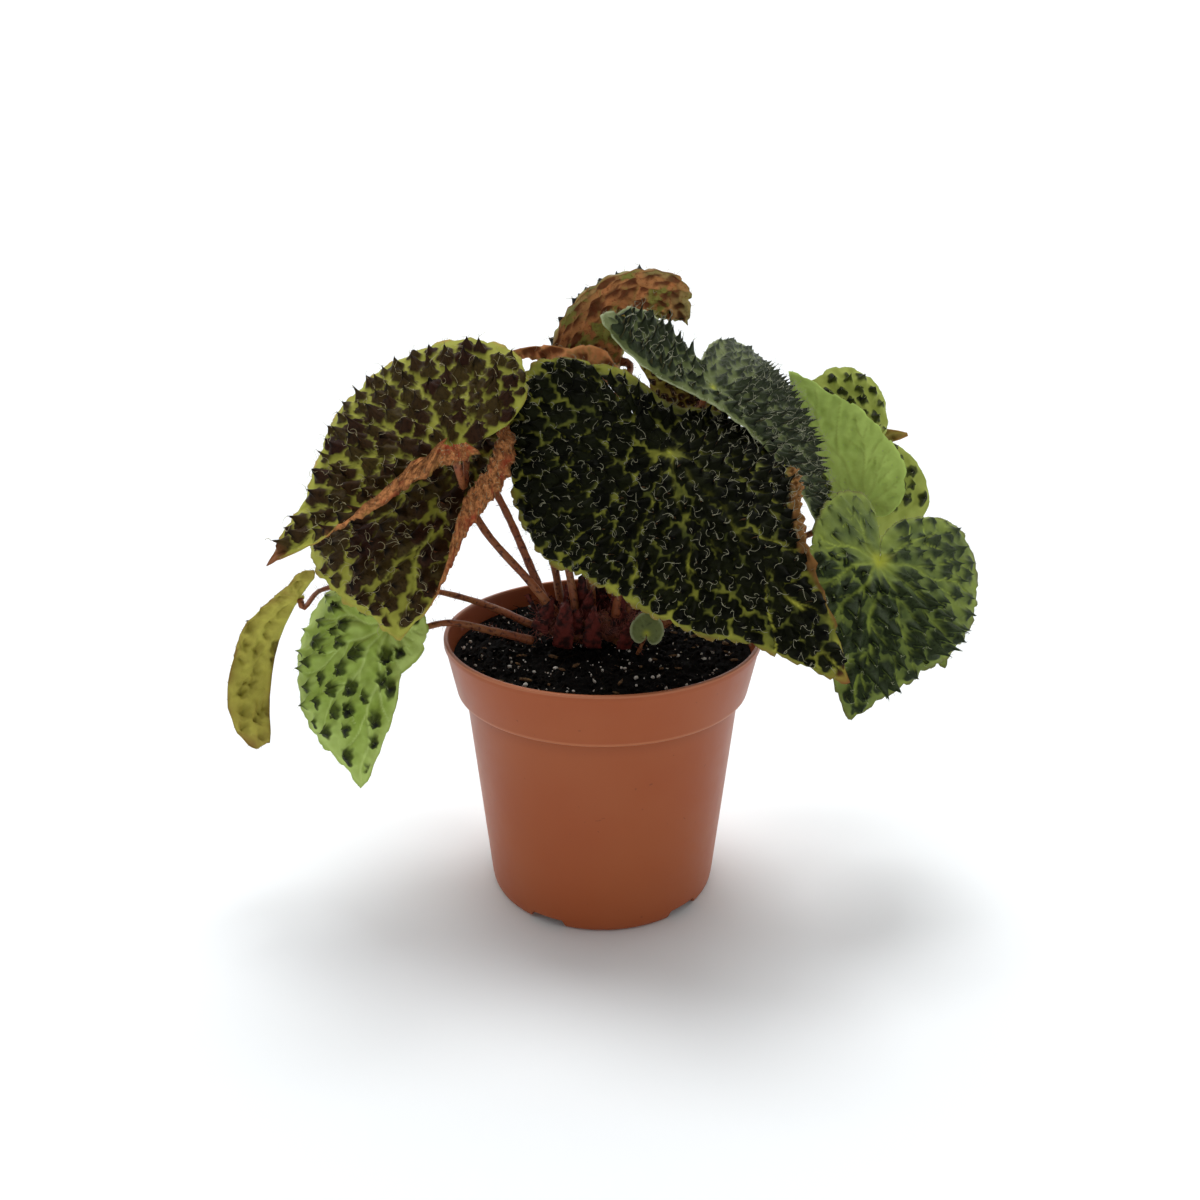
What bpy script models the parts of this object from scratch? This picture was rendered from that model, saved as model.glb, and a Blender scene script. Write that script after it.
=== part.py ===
"""Potted begonia: seventeen stalked leaves over a twelve-centimetre nursery pot.

Written in millimetres and scaled to metres. The pot's axis is Z and it stands on Z = 0; the plant's
longest spread is along X and its front faces -Y.
"""

import math

import bmesh
import bpy
import numpy as np

MM = 0.001

# Pot
POT_HEIGHT = 104.6
RIM_RADIUS = 60.0
COLLAR_HEIGHT = 21.1
COLLAR_FOOT_RADIUS = 55.8
BODY_TOP_RADIUS = 52.5
BASE_RADIUS = 44.6
WALL = 1.4
FLOOR_UNDERSIDE = 3.9
FLOOR_THICKNESS = 1.5
FOOT_INNER_RADIUS = 41.2
FEET = 5
NOTCH_DEGREES = 19
NOTCH_HEIGHT = 3.3
NOTCH_CENTRE = 44.0  # first notch, in degrees round from the front towards +X
DRAIN_RADIUS = 3.6
DRAIN_CIRCLE = 32.0
POT_STEPS = 60

# Soil
SOIL_EDGE = 96.6
SOIL_MOUND = 1.8
GAP = 0.3  # kept between pieces that touch

# Leaves
BLADE_THICKNESS = 1.0
BEARINGS = (0, 10, 28, 52, 78, 104, 130, 152, 168, 180)
HEART = (1.0, 0.84, 0.73, 0.67, 0.62, 0.57, 0.52, 0.42, 0.24, 0.10)
SINUS = 172  # bearing at which the margin ends, beside the notch over the stalk
TIP_CROWDING = 0.4  # gathers the columns of a blade's grid towards its tip
ROWS = (0, 0.3, 0.55, 0.75, 0.9, 1)
ROLLED_ROWS = (0, 0.3, 0.5, 0.65, 0.76, 0.85, 0.93, 1)

# Each leaf: joint with its stalk, tip, the way its face looks, and how the blade is formed.
#   arch     degrees its midrib bends between joint and tip, bulging towards the face
#   back     degrees its basal lobes drop behind the joint
#   fold     lift of each half at once from the midrib, degrees: left base, left tip, right base, right tip
#   bend     lift gained on the way to each margin, degrees: left, right
#   widths   how wide each half is, left and right
#   edge     distance of the left or right margin at each of BEARINGS, as a share of the midrib's length,
#            where the half isn't shaped like HEART
#   sinus    bearing at which its margins end, where that isn't SINUS
#   roll     margin rolled up over the face: first and last bearing of the left half, strip, radius
#   stalk    points its stalk passes on the way up
#   thick    thickness of the stalk at the foot and at the blade
#   below    how far under the blade the stalk turns square to it
#   clear    gap between the stalk's end and the middle of the blade
LEAVES = {
    "upper_left": dict(
        joint=(-50, -24, 177), tip=(-111, -44, 145), face=(-0.30, -0.72, 0.62), arch=22, back=10,
        fold=(20, 20, 22, 0), bend=(0, -25), widths=(0.26, 0.95),
        right_edge=(1.0, 0.80, 0.70, 0.69, 0.70, 0.70, 0.66, 0.56, 0.35, 0.10), roll=(2, 150, 13, 3.6),
        stalk=(
            (-17, -3, 112), (-27, -1, 124), (-46, 3, 147), (-55, 16.5, 172), (-54, 17.5, 192), (-50, 2, 196),
        ),
        thick=(4.0, 2.8),
    ),
    "lower_left": dict(
        joint=(-49, 4, 178), tip=(-70, -40, 117), face=(-0.22, -0.78, 0.56), arch=25, back=10,
        fold=(0, 0, 0, -5), bend=(-10, -20), widths=(1.0, 1.0),
        left_edge=(1.0, 0.80, 0.61, 0.50, 0.42, 0.35, 0.27, 0.19, 0.14, 0.10),
        right_edge=(1.0, 0.95, 0.95, 0.93, 0.78, 0.50, 0.26, 0.14, 0.11, 0.10), roll=(2, 130, 17, 5.2),
        stalk=((-21, 4, 112), (-27, 6, 127), (-38, 10, 152)), thick=(4.4, 3.2),
    ),
    "young_left": dict(
        joint=(-78, -17, 113), tip=(-87, -39, 58), face=(-0.25, -0.85, 0.45), arch=25, back=10,
        fold=(0, -5, 0, -5), bend=(-40, -25), widths=(0.42, 1.1),
        right_edge=(1.0, 0.86, 0.78, 0.72, 0.63, 0.52, 0.43, 0.34, 0.20, 0.10),
        stalk=((-26, -5, 102), (-40, -6, 106), (-58, -7, 110)), thick=(4.2, 2.8),
    ),
    "far_left": dict(
        joint=(-112, -7, 120), tip=(-124, -21, 68), face=(-0.74, 0.66, 0.10), arch=88, back=-20,
        fold=(10, 0, 0, 0), bend=(10, -20), widths=(0.66, 1.0),
        left_edge=(1.0, 1.16, 0.74, 0.34, 0.24, 0.22, 0.28, 0.40, 0.38, 0.14),
        right_edge=(1.0, 0.12, 0.05, 0.04, 0.04, 0.04, 0.04, 0.04, 0.04, 0.04), below=5.4, clear=3.4,
        stalk=(
            (-27, 6, 104), (-44, 11, 110), (-65, 14, 115), (-88, 14, 117), (-102, 11.5, 118), (-107, 3.5, 119),
        ),
        thick=(3.8, 2.2),
    ),
    "front": dict(
        joint=(22, -30, 180), tip=(78, -70, 114), face=(-0.08, -0.74, 0.66), arch=45, back=-40,
        fold=(-17, -5, -12, -5), bend=(-56, -30), widths=(0.70, 1.0), sinus=178, clear=1.8,
        left_edge=(1.0, 0.72, 0.68, 0.65, 0.58, 0.54, 0.35, 0.42, 0.60, 0.66),
        right_edge=(1.0, 0.80, 0.66, 0.55, 0.52, 0.58, 0.57, 0.58, 0.58, 0.46), roll=(2, 64, 5, 3),
        stalk=((5, -5, 112), (8, -7, 135), (15, -13, 160)), thick=(4.6, 3.4),
    ),
    "top_right": dict(
        joint=(38, -9, 198), tip=(82, 1, 136), face=(0.40, -0.35, 0.84), arch=55, back=-30,
        fold=(12, 6, 0, 0), bend=(-24, -20), widths=(1.0, 1.0), sinus=178, below=5,
        left_edge=(1.0, 0.88, 0.80, 0.78, 0.64, 0.31, 0.16, 0.40, 0.50, 0.52),
        right_edge=(1.0, 0.56, 0.24, 0.13, 0.10, 0.11, 0.17, 0.38, 0.58, 0.54),
        stalk=((10, 3, 112), (14, 8, 140), (27, 10, 170), (34, 5, 184)), thick=(4.2, 3.0),
    ),
    "low_right": dict(
        joint=(99, -15, 137), tip=(86, -45, 89), face=(0.15, -0.75, 0.60), arch=30, back=20,
        fold=(5, -5, 18, 1), bend=(-25, -6), widths=(1.22, 0.80),
        left_edge=(1.0, 0.80, 0.62, 0.60, 0.61, 0.61, 0.58, 0.36, 0.22, 0.12),
        right_edge=(1.0, 0.90, 0.78, 0.66, 0.60, 0.58, 0.60, 0.58, 0.50, 0.12),
        stalk=((17, -4, 104), (32, -5, 115), (62, -4, 132)), thick=(4.2, 3.0),
    ),
    "under_right": dict(
        joint=(121, 8, 109), tip=(128, -12, 94), face=(0.3, -0.6, 0.7), arch=20, back=20,
        bend=(-20, -20), stalk=((18, 5, 103), (40, 9, 110), (80, 14, 117)), thick=(3.2, 2.2),
    ),
    "right_folded": dict(
        joint=(103, 28, 147), tip=(73, 46, 195), face=(0.30, 0.92, 0.10), arch=-10, back=20,
        bend=(10, 10), widths=(1.0, 0.35),
        left_edge=(1.0, 0.80, 0.60, 0.43, 0.34, 0.26, 0.20, 0.16, 0.13, 0.10),
        stalk=((13, 10, 104), (36, 14, 122), (78, 8, 140)), thick=(4.0, 2.8),
    ),
    "right_back": dict(
        joint=(110, 54, 167), tip=(76, 48, 166), face=(0.2, -0.85, 0.5), arch=20, back=-10,
        bend=(-20, 0),
        left_edge=(1.0, 0.90, 0.95, 1.15, 1.30, 1.32, 1.08, 0.60, 0.24, 0.10),
        right_edge=(1.0, 0.90, 0.94, 0.97, 0.88, 0.68, 0.38, 0.25, 0.18, 0.10),
        stalk=((5, 11, 104), (28, 26, 124), (78, 56, 142)), thick=(4.0, 2.8),
    ),
    "crown_curled": dict(
        joint=(6, 38, 200), tip=(32, 38, 214), face=(-0.54, 0.0, 0.84), arch=110, back=20,
        fold=(10, 10, 105, 80), bend=(-40, -50), widths=(0.8, 1.1),
        right_edge=(1.0, 0.93, 0.90, 0.86, 0.88, 0.70, 0.40, 0.28, 0.18, 0.10), below=3, clear=1.8,
        stalk=((-4, 3, 112), (-5, 10, 150), (3, 22, 185)), thick=(4.4, 3.2),
    ),
    "back_low": dict(
        joint=(-3, 14, 197), tip=(-37, 22, 204), face=(0.0, 0.2, 1.0), arch=30, back=10,
        fold=(95, 80, 10, 10), bend=(-30, -30), widths=(0.5, 0.35), below=3, clear=1.8,
        stalk=((-10, -1, 112), (-14, 4, 145), (-8, 11, 175)), thick=(4.0, 2.8),
    ),
    "crumpled": dict(
        joint=(39, 15, 184), tip=(12, 17, 206), face=(-0.1, -0.85, 0.35), arch=50, back=20,
        bend=(-30, -30), widths=(0.75, 0.6), below=3, clear=1.4,
        stalk=((9, -3, 112), (16, 4, 140), (34, 21, 172)), thick=(3.0, 2.0),
    ),
    "seedling": dict(
        joint=(16, -20, 111), tip=(17, -14, 119), face=(0, -0.9, 0.4), arch=10, back=0,
        bend=(0, 0), stalk=((13, -13, 100),), thick=(1.8, 1.4),
    ),
    "back_left": dict(
        joint=(-46, 40, 180), tip=(-92, 52, 138), face=(-0.45, 0.55, 0.70), arch=40, back=20,
        bend=(-30, -30), widths=(0.42, 0.80),
        stalk=((-15, 10, 104), (-20, 18, 130), (-36, 30, 164)), thick=(4.2, 3.0),
    ),
    "back": dict(
        joint=(8, 42, 168), tip=(4, 66, 110), face=(0.0, 0.75, 0.60), arch=40, back=2,
        bend=(-30, -30), stalk=((-5, 11, 104), (-3, 20, 130), (4, 28, 155)), thick=(4.4, 3.0),
    ),
    "back_right": dict(
        joint=(88, 67, 160), tip=(129, 66, 166), face=(0.1, 0.9, 0.35), arch=20, back=20,
        bend=(-20, -20), widths=(0.4, 0.4),
        stalk=((9, 17, 101), (28, 40, 120), (62, 62, 146)), thick=(3.4, 2.4),
    ),
}

# Stipules: foot, tip, width, degrees they lean open
STIPULES = {
    "left": ((-15, -10.5, 101.5), (-13, -14, 122), 8.0),
    "middle": ((-4, -10.5, 101.5), (-3, -13, 119), 7.0),
    "right": ((8, -10.5, 101.0), (10, -13, 113), 6.0),
}


def material(name, colour, roughness):
    """A plain material of its own for one piece."""
    made = bpy.data.materials.new(name)
    made.use_nodes = True
    shader = made.node_tree.nodes["Principled BSDF"]
    shader.inputs["Base Color"].default_value = (*colour, 1)
    shader.inputs["Roughness"].default_value = roughness
    return made


TERRACOTTA = (0.27, 0.075, 0.030)
PEAT = (0.012, 0.010, 0.008)
RED_BROWN = (0.16, 0.045, 0.025)
PINK = (0.42, 0.11, 0.09)
DARK_GREEN = (0.045, 0.075, 0.022)
FRESH_GREEN = (0.16, 0.28, 0.05)
BROWN = (0.22, 0.10, 0.04)


def collection(name):
    made = bpy.data.collections.new(name)
    bpy.context.scene.collection.children.link(made)
    return made


def add(name, mesh, into, colour=None, roughness=0.5, smooth=True):
    """Links a mesh as one named piece, with its own material."""
    piece = bpy.data.objects.new(name, mesh)
    into.objects.link(piece)
    if colour:
        mesh.materials.append(material(name, colour, roughness))
    if smooth:
        mesh.shade_smooth()
    return piece


def turned(name, profile, steps, into, colour, roughness=0.5):
    """A solid turned about Z from a profile given down its outer side."""
    shape = bmesh.new()
    corners = [shape.verts.new((radius * MM, 0, height * MM)) for radius, height in profile]
    for start, end in zip(corners, corners[1:]):
        shape.edges.new((start, end))
    if profile[0][0] > 0 and profile[-1][0] > 0:
        shape.edges.new((corners[-1], corners[0]))
    mesh = bpy.data.meshes.new(name)
    shape.to_mesh(mesh)
    shape.free()
    piece = add(name, mesh, into, colour, roughness, smooth=False)
    spin = piece.modifiers.new("Turn", "SCREW")
    spin.axis = "Z"
    spin.angle = math.tau
    spin.steps = steps
    spin.render_steps = steps
    spin.use_merge_vertices = True
    spin.merge_threshold = 0.00001
    spin.use_smooth_shade = True
    return piece


def cut(piece, cutter):
    away = piece.modifiers.new(cutter.name, "BOOLEAN")
    away.operation = "DIFFERENCE"
    away.solver = "EXACT"
    away.object = cutter


def inner_wall(gap=0.0):
    """The pot's inside from its floor up to the lip, with an optional gap kept from it."""
    step = POT_HEIGHT - COLLAR_HEIGHT
    return [
        (BASE_RADIUS - WALL - 2.2 - gap, FLOOR_UNDERSIDE + FLOOR_THICKNESS + gap),
        (BASE_RADIUS - WALL - gap, FLOOR_UNDERSIDE + FLOOR_THICKNESS + 2.4 + gap),
        (BODY_TOP_RADIUS - WALL - gap, step - 1.2 + gap),
        (COLLAR_FOOT_RADIUS - WALL - gap, step + 1.4 + gap),
        (RIM_RADIUS - WALL - 0.5 - gap, POT_HEIGHT - 2.2),
    ]


def make_pot(into, cutters):
    step = POT_HEIGHT - COLLAR_HEIGHT
    outside = [
        (RIM_RADIUS - WALL - 0.3, POT_HEIGHT - 0.5),
        (RIM_RADIUS - WALL, POT_HEIGHT),
        (RIM_RADIUS - 0.5, POT_HEIGHT),
        (RIM_RADIUS, POT_HEIGHT - 0.5),
        (RIM_RADIUS, POT_HEIGHT - 2.2),
        (RIM_RADIUS - 0.5, POT_HEIGHT - 2.7),
        (COLLAR_FOOT_RADIUS + 0.1, step + 0.7),
        (COLLAR_FOOT_RADIUS - 0.5, step),
        (BODY_TOP_RADIUS + 0.4, step - 0.5),
        (BODY_TOP_RADIUS, step - 1.2),
        (BASE_RADIUS + 0.2, 3.4),
        (BASE_RADIUS - 0.3, 1.1),
        (BASE_RADIUS - 1.2, 0),
        (FOOT_INNER_RADIUS + 0.3, 0),
        (FOOT_INNER_RADIUS, 0.4),
        (FOOT_INNER_RADIUS, FLOOR_UNDERSIDE - 0.6),
        (FOOT_INNER_RADIUS - 0.8, FLOOR_UNDERSIDE),
        (0, FLOOR_UNDERSIDE),
    ]
    inside = [(0, FLOOR_UNDERSIDE + FLOOR_THICKNESS)] + inner_wall()
    pot = turned("pot", outside + inside, POT_STEPS, into, TERRACOTTA, 0.42)
    for number in range(FEET):
        angle = math.radians(NOTCH_CENTRE + number * 360 / FEET)
        notch = notch_cutter(number, angle, cutters)
        cut(pot, notch)
        cut(pot, drain_cutter(number, angle, cutters))
    return pot


def notch_cutter(number, angle, into):
    """A block whose flared sides leave the feet with chamfered ends."""
    half = BASE_RADIUS * math.tan(math.radians(NOTCH_DEGREES / 2))
    shape = bmesh.new()
    bmesh.ops.create_cube(shape, size=1.0)
    for corner in shape.verts:
        top = corner.co.z > 0
        corner.co.x *= 2 * (half - 1.2 if top else half + 1.0)
        corner.co.y = -(FOOT_INNER_RADIUS - 5 if corner.co.y > 0 else BASE_RADIUS + 5)
        corner.co.z = NOTCH_HEIGHT if top else -1.0
        corner.co *= MM
    return placed_cutter(f"notch_{number}", shape, angle, into)


def drain_cutter(number, angle, into):
    shape = bmesh.new()
    bmesh.ops.create_cone(
        shape, cap_ends=True, segments=16, radius1=DRAIN_RADIUS * MM, radius2=DRAIN_RADIUS * MM, depth=8 * MM
    )
    for corner in shape.verts:
        corner.co.y -= DRAIN_CIRCLE * MM
        corner.co.z += (FLOOR_UNDERSIDE + 1) * MM
    return placed_cutter(f"drain_{number}", shape, angle, into)


def placed_cutter(name, shape, angle, into):
    bmesh.ops.recalc_face_normals(shape, faces=shape.faces)
    mesh = bpy.data.meshes.new(name)
    shape.to_mesh(mesh)
    shape.free()
    cutter = add(name, mesh, into, smooth=False)
    cutter.rotation_euler.z = angle
    cutter.display_type = "WIRE"
    cutter.hide_render = True
    return cutter


def soil_height(x, y):
    """Top of the soil, mounded a little towards the middle."""
    return SOIL_EDGE + SOIL_MOUND * (1 - min(1.0, math.hypot(x, y) / RIM_RADIUS) ** 2)


def make_soil(into):
    wall = inner_wall(GAP)
    low, high = wall[-2], wall[-1]
    share = (SOIL_EDGE - low[1]) / (high[1] - low[1])
    edge = low[0] + share * (high[0] - low[0])
    surface = [(radius, soil_height(radius, 0)) for radius in (0, 14, 28, 42, 52)]
    profile = surface + [(edge, SOIL_EDGE - 0.4)] + wall[-2::-1] + [(0, wall[0][1])]
    return turned("soil", profile, 48, into, PEAT, 0.9)


def smooth_through(stations, values, x):
    """Reads a smooth curve that passes through the values at the stations."""
    stations = np.asarray(stations, float)
    values = np.asarray(values, float)
    slopes = np.gradient(values, stations)
    i = np.clip(np.searchsorted(stations, x, side="right") - 1, 0, len(stations) - 2)
    step = stations[i + 1] - stations[i]
    t = (x - stations[i]) / step
    rise = (t**3 - 2 * t**2 + t) * step * slopes[i] + (t**3 - t**2) * step * slopes[i + 1]
    return (2 * t**3 - 3 * t**2 + 1) * values[i] + (3 * t**2 - 2 * t**3) * values[i + 1] + rise


def unit(vector):
    vector = np.asarray(vector, float)
    return vector / np.linalg.norm(vector, axis=-1)[..., None]


def reach(leaf, bearing):
    """Distance of the margin from the joint, as a share of the midrib's length."""
    turn = np.abs(bearing)
    left_width, right_width = leaf.get("widths", (1, 1))
    left = smooth_through(BEARINGS, leaf.get("left_edge", HEART), turn)
    right = smooth_through(BEARINGS, leaf.get("right_edge", HEART), turn)
    wide = np.where(bearing >= 0, left_width, right_width)
    return np.where(bearing >= 0, left, right) * (1 + (wide - 1) * np.clip(turn / 28, 0, 1))


def axes_of(leaf):
    """Joint, the way ahead along the midrib, left, up from the face, and the midrib's length."""
    joint = np.array(leaf["joint"], float)
    along = np.array(leaf["tip"], float) - joint
    chord = np.linalg.norm(along)
    ahead = along / chord
    face = np.array(leaf["face"], float)
    up = unit(face - (face @ ahead) * ahead)
    bow = math.radians(leaf["arch"])
    return joint, ahead, np.cross(up, ahead), up, chord * (bow / 2) / math.sin(bow / 2)


def sheet(leaf, along, aside):
    """Point and normal of the blade before its margin rolls, at shares of the midrib's length."""
    joint, ahead, left, up, length = axes_of(leaf)
    bow = math.radians(leaf["arch"])
    back = math.radians(leaf["back"] + 0.01)
    front = np.clip(along, 0, None)
    rear = np.clip(-along, 0, None)
    turn = bow * (0.5 - front) + back * rear
    half = bow / 2
    x = (math.sin(half) - np.sin(half - bow * front)) / bow - (np.sin(half + back * rear) - math.sin(half)) / back
    z = (np.cos(half - bow * front) - math.cos(half)) / bow + (np.cos(half + back * rear) - math.cos(half)) / back
    tangent = np.cos(turn)[..., None] * ahead + np.sin(turn)[..., None] * up
    normal = np.cos(turn)[..., None] * up - np.sin(turn)[..., None] * ahead
    spine = joint + length * (x[..., None] * ahead + z[..., None] * up)

    fold = leaf.get("fold", (0, 0, 0, 0))
    share = np.clip((along + 0.4) / 1.4, 0, 1)
    left_fold = fold[0] + (fold[1] - fold[0]) * share
    right_fold = fold[2] + (fold[3] - fold[2]) * share
    start = np.radians(np.where(aside >= 0, left_fold, right_fold))
    curl = np.radians(np.where(aside >= 0, leaf["bend"][0], leaf["bend"][1]) + 0.01) / 0.6
    side = np.where(aside >= 0, 1.0, -1.0)
    tilt = start + curl * np.abs(aside)
    out = (np.sin(tilt) - np.sin(start)) / curl
    lift = (np.cos(start) - np.cos(tilt)) / curl
    point = spine + length * ((side * out)[..., None] * left + lift[..., None] * normal)
    across = (side * np.cos(tilt))[..., None] * left + np.sin(tilt)[..., None] * normal
    return point, unit(np.cross(tangent, across) * side[..., None])


def polar(leaf, distance, bearing):
    angle = np.radians(bearing)
    return sheet(leaf, distance * np.cos(angle), distance * np.sin(angle))


def blade(leaf, bearing, share):
    """Point and normal at a bearing from the midrib and a share of the way to the margin."""
    bearing, share = np.broadcast_arrays(np.asarray(bearing, float), np.asarray(share, float))
    edge = reach(leaf, bearing)
    if "roll" not in leaf:
        return polar(leaf, share * edge, bearing)
    first, last, width, radius = leaf["roll"]
    length = axes_of(leaf)[4]
    window = np.clip((1 - np.abs((bearing - (first + last) / 2) / ((last - first) / 2))) * 3, 0, 1)
    window = window * window * (3 - 2 * window)
    strip = np.minimum(width * window, 0.8 * edge * length)
    over = np.clip(strip - (1 - share) * edge * length, 0, None)
    flat = np.minimum(share * edge, edge - strip / length)
    point, normal = polar(leaf, flat, bearing)
    before, _ = polar(leaf, flat - 0.02, bearing)
    out = unit(point - before)
    up = np.cross(out, np.cross(normal, out))
    angle = over / radius
    rolled = np.sin(angle)[..., None] * out + (1 - np.cos(angle))[..., None] * up
    return point + radius * rolled, np.cos(angle)[..., None] * up - np.sin(angle)[..., None] * out


def make_blade(name, leaf, into, colour):
    """A grid of bearings and shares laid over the blade's form and thickened."""
    rows = ROLLED_ROWS if "roll" in leaf else ROWS
    length = axes_of(leaf)[4]
    columns = 24 if length > 55 else 18 if length > 30 else 12
    shape = bmesh.new()
    bmesh.ops.create_grid(shape, x_segments=columns, y_segments=len(rows) - 1, size=0.5)
    column = np.array([round((corner.co.x + 0.5) * columns) for corner in shape.verts])
    row = np.array([round((corner.co.y + 0.5) * (len(rows) - 1)) for corner in shape.verts])
    turn = 1 - 2 * column / columns
    bearing = leaf.get("sinus", SINUS) * turn * np.abs(turn) ** TIP_CROWDING
    points, _ = blade(leaf, bearing, np.array(rows)[row])
    for corner, point in zip(shape.verts, points):
        corner.co = point * MM
    bmesh.ops.remove_doubles(shape, verts=shape.verts, dist=0.00001)
    bmesh.ops.recalc_face_normals(shape, faces=shape.faces)
    mesh = bpy.data.meshes.new(name)
    shape.to_mesh(mesh)
    shape.free()
    piece = add(name, mesh, into, colour, 0.55)
    skin = piece.modifiers.new("Thickness", "SOLIDIFY")
    skin.thickness = BLADE_THICKNESS * MM
    skin.offset = 0
    return piece


def stem(name, points, radii, sides, into, colour, roughness=0.5):
    """A round stem through the points, closed at both ends."""
    curve = bpy.data.curves.new(name, "CURVE")
    curve.dimensions = "3D"
    curve.bevel_depth = MM
    curve.bevel_resolution = sides
    curve.use_fill_caps = True
    line = curve.splines.new("POLY")
    line.points.add(len(points) - 1)
    for corner, point, radius in zip(line.points, points, radii):
        corner.co = (*(np.asarray(point) * MM), 1)
        corner.radius = radius
    piece = bpy.data.objects.new(name, curve)
    into.objects.link(piece)
    curve.materials.append(material(name, colour, roughness))
    return piece


def stalk_points(leaf, count):
    """The stalk's centre line, which meets the blade square on from below."""
    joint, normal = sheet(leaf, np.array(0.0), np.array(0.0))
    foot, top = leaf["thick"]
    below = leaf.get("below", 12 if axes_of(leaf)[4] > 30 else 4)
    clear = leaf.get("clear", BLADE_THICKNESS / 2 + GAP + 0.2)
    way = [*leaf["stalk"], joint - below * normal, joint - clear * normal]
    way = np.array(way, float)
    travelled = np.concatenate([[0], np.cumsum(np.linalg.norm(np.diff(way, axis=0), axis=1))])
    at = np.linspace(0, travelled[-1], count)
    points = np.stack([smooth_through(travelled, way[:, axis], at) for axis in range(3)], axis=-1)
    share = at / travelled[-1]
    radii = top / 2 + (foot - top) / 2 * (1 - share) ** 2
    return points, radii


def make_rhizome(into):
    """A short creeping stem, knobbly where old leaves have dropped."""
    centre = [
        (-22, 4, 104.6), (-17, 3, 105), (-12, 1, 105.6), (-6, 0, 105),
        (0, 1, 105.6), (6, 0, 105), (11, 1, 104.6),
    ]
    radii = (3.4, 5.4, 5.0, 6.0, 5.2, 5.6, 3.6)
    return stem("rhizome", centre, radii, 2, into, RED_BROWN, 0.7)


def make_stipule(name, foot, tip, width, into):
    """A thin pointed scale, hollow towards the back."""
    shape = bmesh.new()
    bmesh.ops.create_grid(shape, x_segments=4, y_segments=5, size=0.5)
    foot, tip = np.array(foot, float), np.array(tip, float)
    for corner in shape.verts:
        across, up = corner.co.x * 2, corner.co.y + 0.5
        half = width / 2 * (1 - up**2.2) ** 0.8 + 0.6
        point = foot + up * (tip - foot) + np.array((half * across, 0.35 * half * across**2, 0))
        corner.co = point * MM
    mesh = bpy.data.meshes.new(name)
    shape.to_mesh(mesh)
    shape.free()
    piece = add(name, mesh, into, PINK, 0.6)
    skin = piece.modifiers.new("Thickness", "SOLIDIFY")
    skin.thickness = 0.7 * MM
    skin.offset = 0
    return piece


def main():
    for old in list(bpy.data.objects):
        bpy.data.objects.remove(old, do_unlink=True)
    plant = collection("potted_begonia")
    cutters = collection("cutters")
    cutters.hide_render = True

    make_pot(plant, cutters)
    make_soil(plant)
    make_rhizome(plant)
    for side, (foot, tip, width) in STIPULES.items():
        make_stipule(f"stipule_{side}", foot, tip, width, plant)
    for name, leaf in LEAVES.items():
        colour = FRESH_GREEN if name in ("young_left", "right_back", "right_folded", "seedling") else DARK_GREEN
        make_blade(f"leaf_{name}", leaf, plant, BROWN if name in ("crown_curled", "back_low") else colour)
        points, radii = stalk_points(leaf, 10 if axes_of(leaf)[4] > 15 else 5)
        stem(f"petiole_{name}", points, radii, 1, plant, RED_BROWN, 0.5)


main()
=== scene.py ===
"""Potted begonia: its looks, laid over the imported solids.

Lengths are written in millimetres and scaled to metres. The pot's axis is Z and it stands on Z = 0; the
plant's longest spread is along X and its front faces -Y.
"""

import math
from functools import partial

import bmesh
import bpy
import numpy as np
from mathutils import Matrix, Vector
from mathutils.geometry import delaunay_2d_cdt


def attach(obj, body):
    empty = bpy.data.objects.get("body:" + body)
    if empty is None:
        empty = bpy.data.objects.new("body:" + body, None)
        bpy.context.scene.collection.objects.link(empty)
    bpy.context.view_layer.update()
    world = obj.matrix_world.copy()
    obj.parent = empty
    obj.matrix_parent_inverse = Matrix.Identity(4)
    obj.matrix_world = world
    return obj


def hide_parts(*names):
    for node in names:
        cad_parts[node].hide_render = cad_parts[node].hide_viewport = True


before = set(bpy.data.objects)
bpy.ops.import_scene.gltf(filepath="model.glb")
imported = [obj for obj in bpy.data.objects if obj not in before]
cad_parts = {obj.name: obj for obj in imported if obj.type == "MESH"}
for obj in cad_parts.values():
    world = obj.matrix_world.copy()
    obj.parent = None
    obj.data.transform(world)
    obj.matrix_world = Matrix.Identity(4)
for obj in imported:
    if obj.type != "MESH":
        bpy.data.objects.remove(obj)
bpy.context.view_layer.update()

MM = 0.001

# Pot
POT_HEIGHT = 104.6
RIM_RADIUS = 60.0
COLLAR_HEIGHT = 21.1
COLLAR_FOOT_RADIUS = 55.8
BODY_TOP_RADIUS = 52.5
BASE_RADIUS = 44.6
WALL = 1.4
FLOOR_UNDERSIDE = 3.9
FLOOR_THICKNESS = 1.5
FOOT_INNER_RADIUS = 41.2
FEET = 5
NOTCH_DEGREES = 19
NOTCH_HEIGHT = 3.3
NOTCH_CENTRE = 44.0
DRAIN_RADIUS = 3.6
DRAIN_CIRCLE = 32.0
MERGED = 0.000001  # points closer than this, in metres, are one

# Soil
SOIL_EDGE = 96.6
SOIL_MOUND = 1.8
DRESSED_RADIUS = 54.0  # how far out the grains lie
GAP = 0.3  # free space between neighbouring pieces

# Leaves. A plain blade is shaped like a heart: its margin is as far from the joint as HEART says at each of
# BEARINGS, degrees from the midrib, in shares of the midrib's length. Its halves end at the bearing SINUS.
BEARINGS = (0, 10, 28, 52, 78, 104, 130, 152, 168, 180)
HEART = (1.0, 0.84, 0.73, 0.67, 0.62, 0.57, 0.52, 0.42, 0.24, 0.10)
SINUS = 172
BLADE_THICKNESS = 1.0  # in the solids
SKIN = 0.35  # how thick a blade really is

# Random draws start from these, so that each run gives the same plant. Each leaf adds its place in LEAVES to
# the first three.
LEAF_SEED = 11
HAIR_SEED = 51
STALK_SEED = 91
DRESSING_SEED = 5

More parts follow.
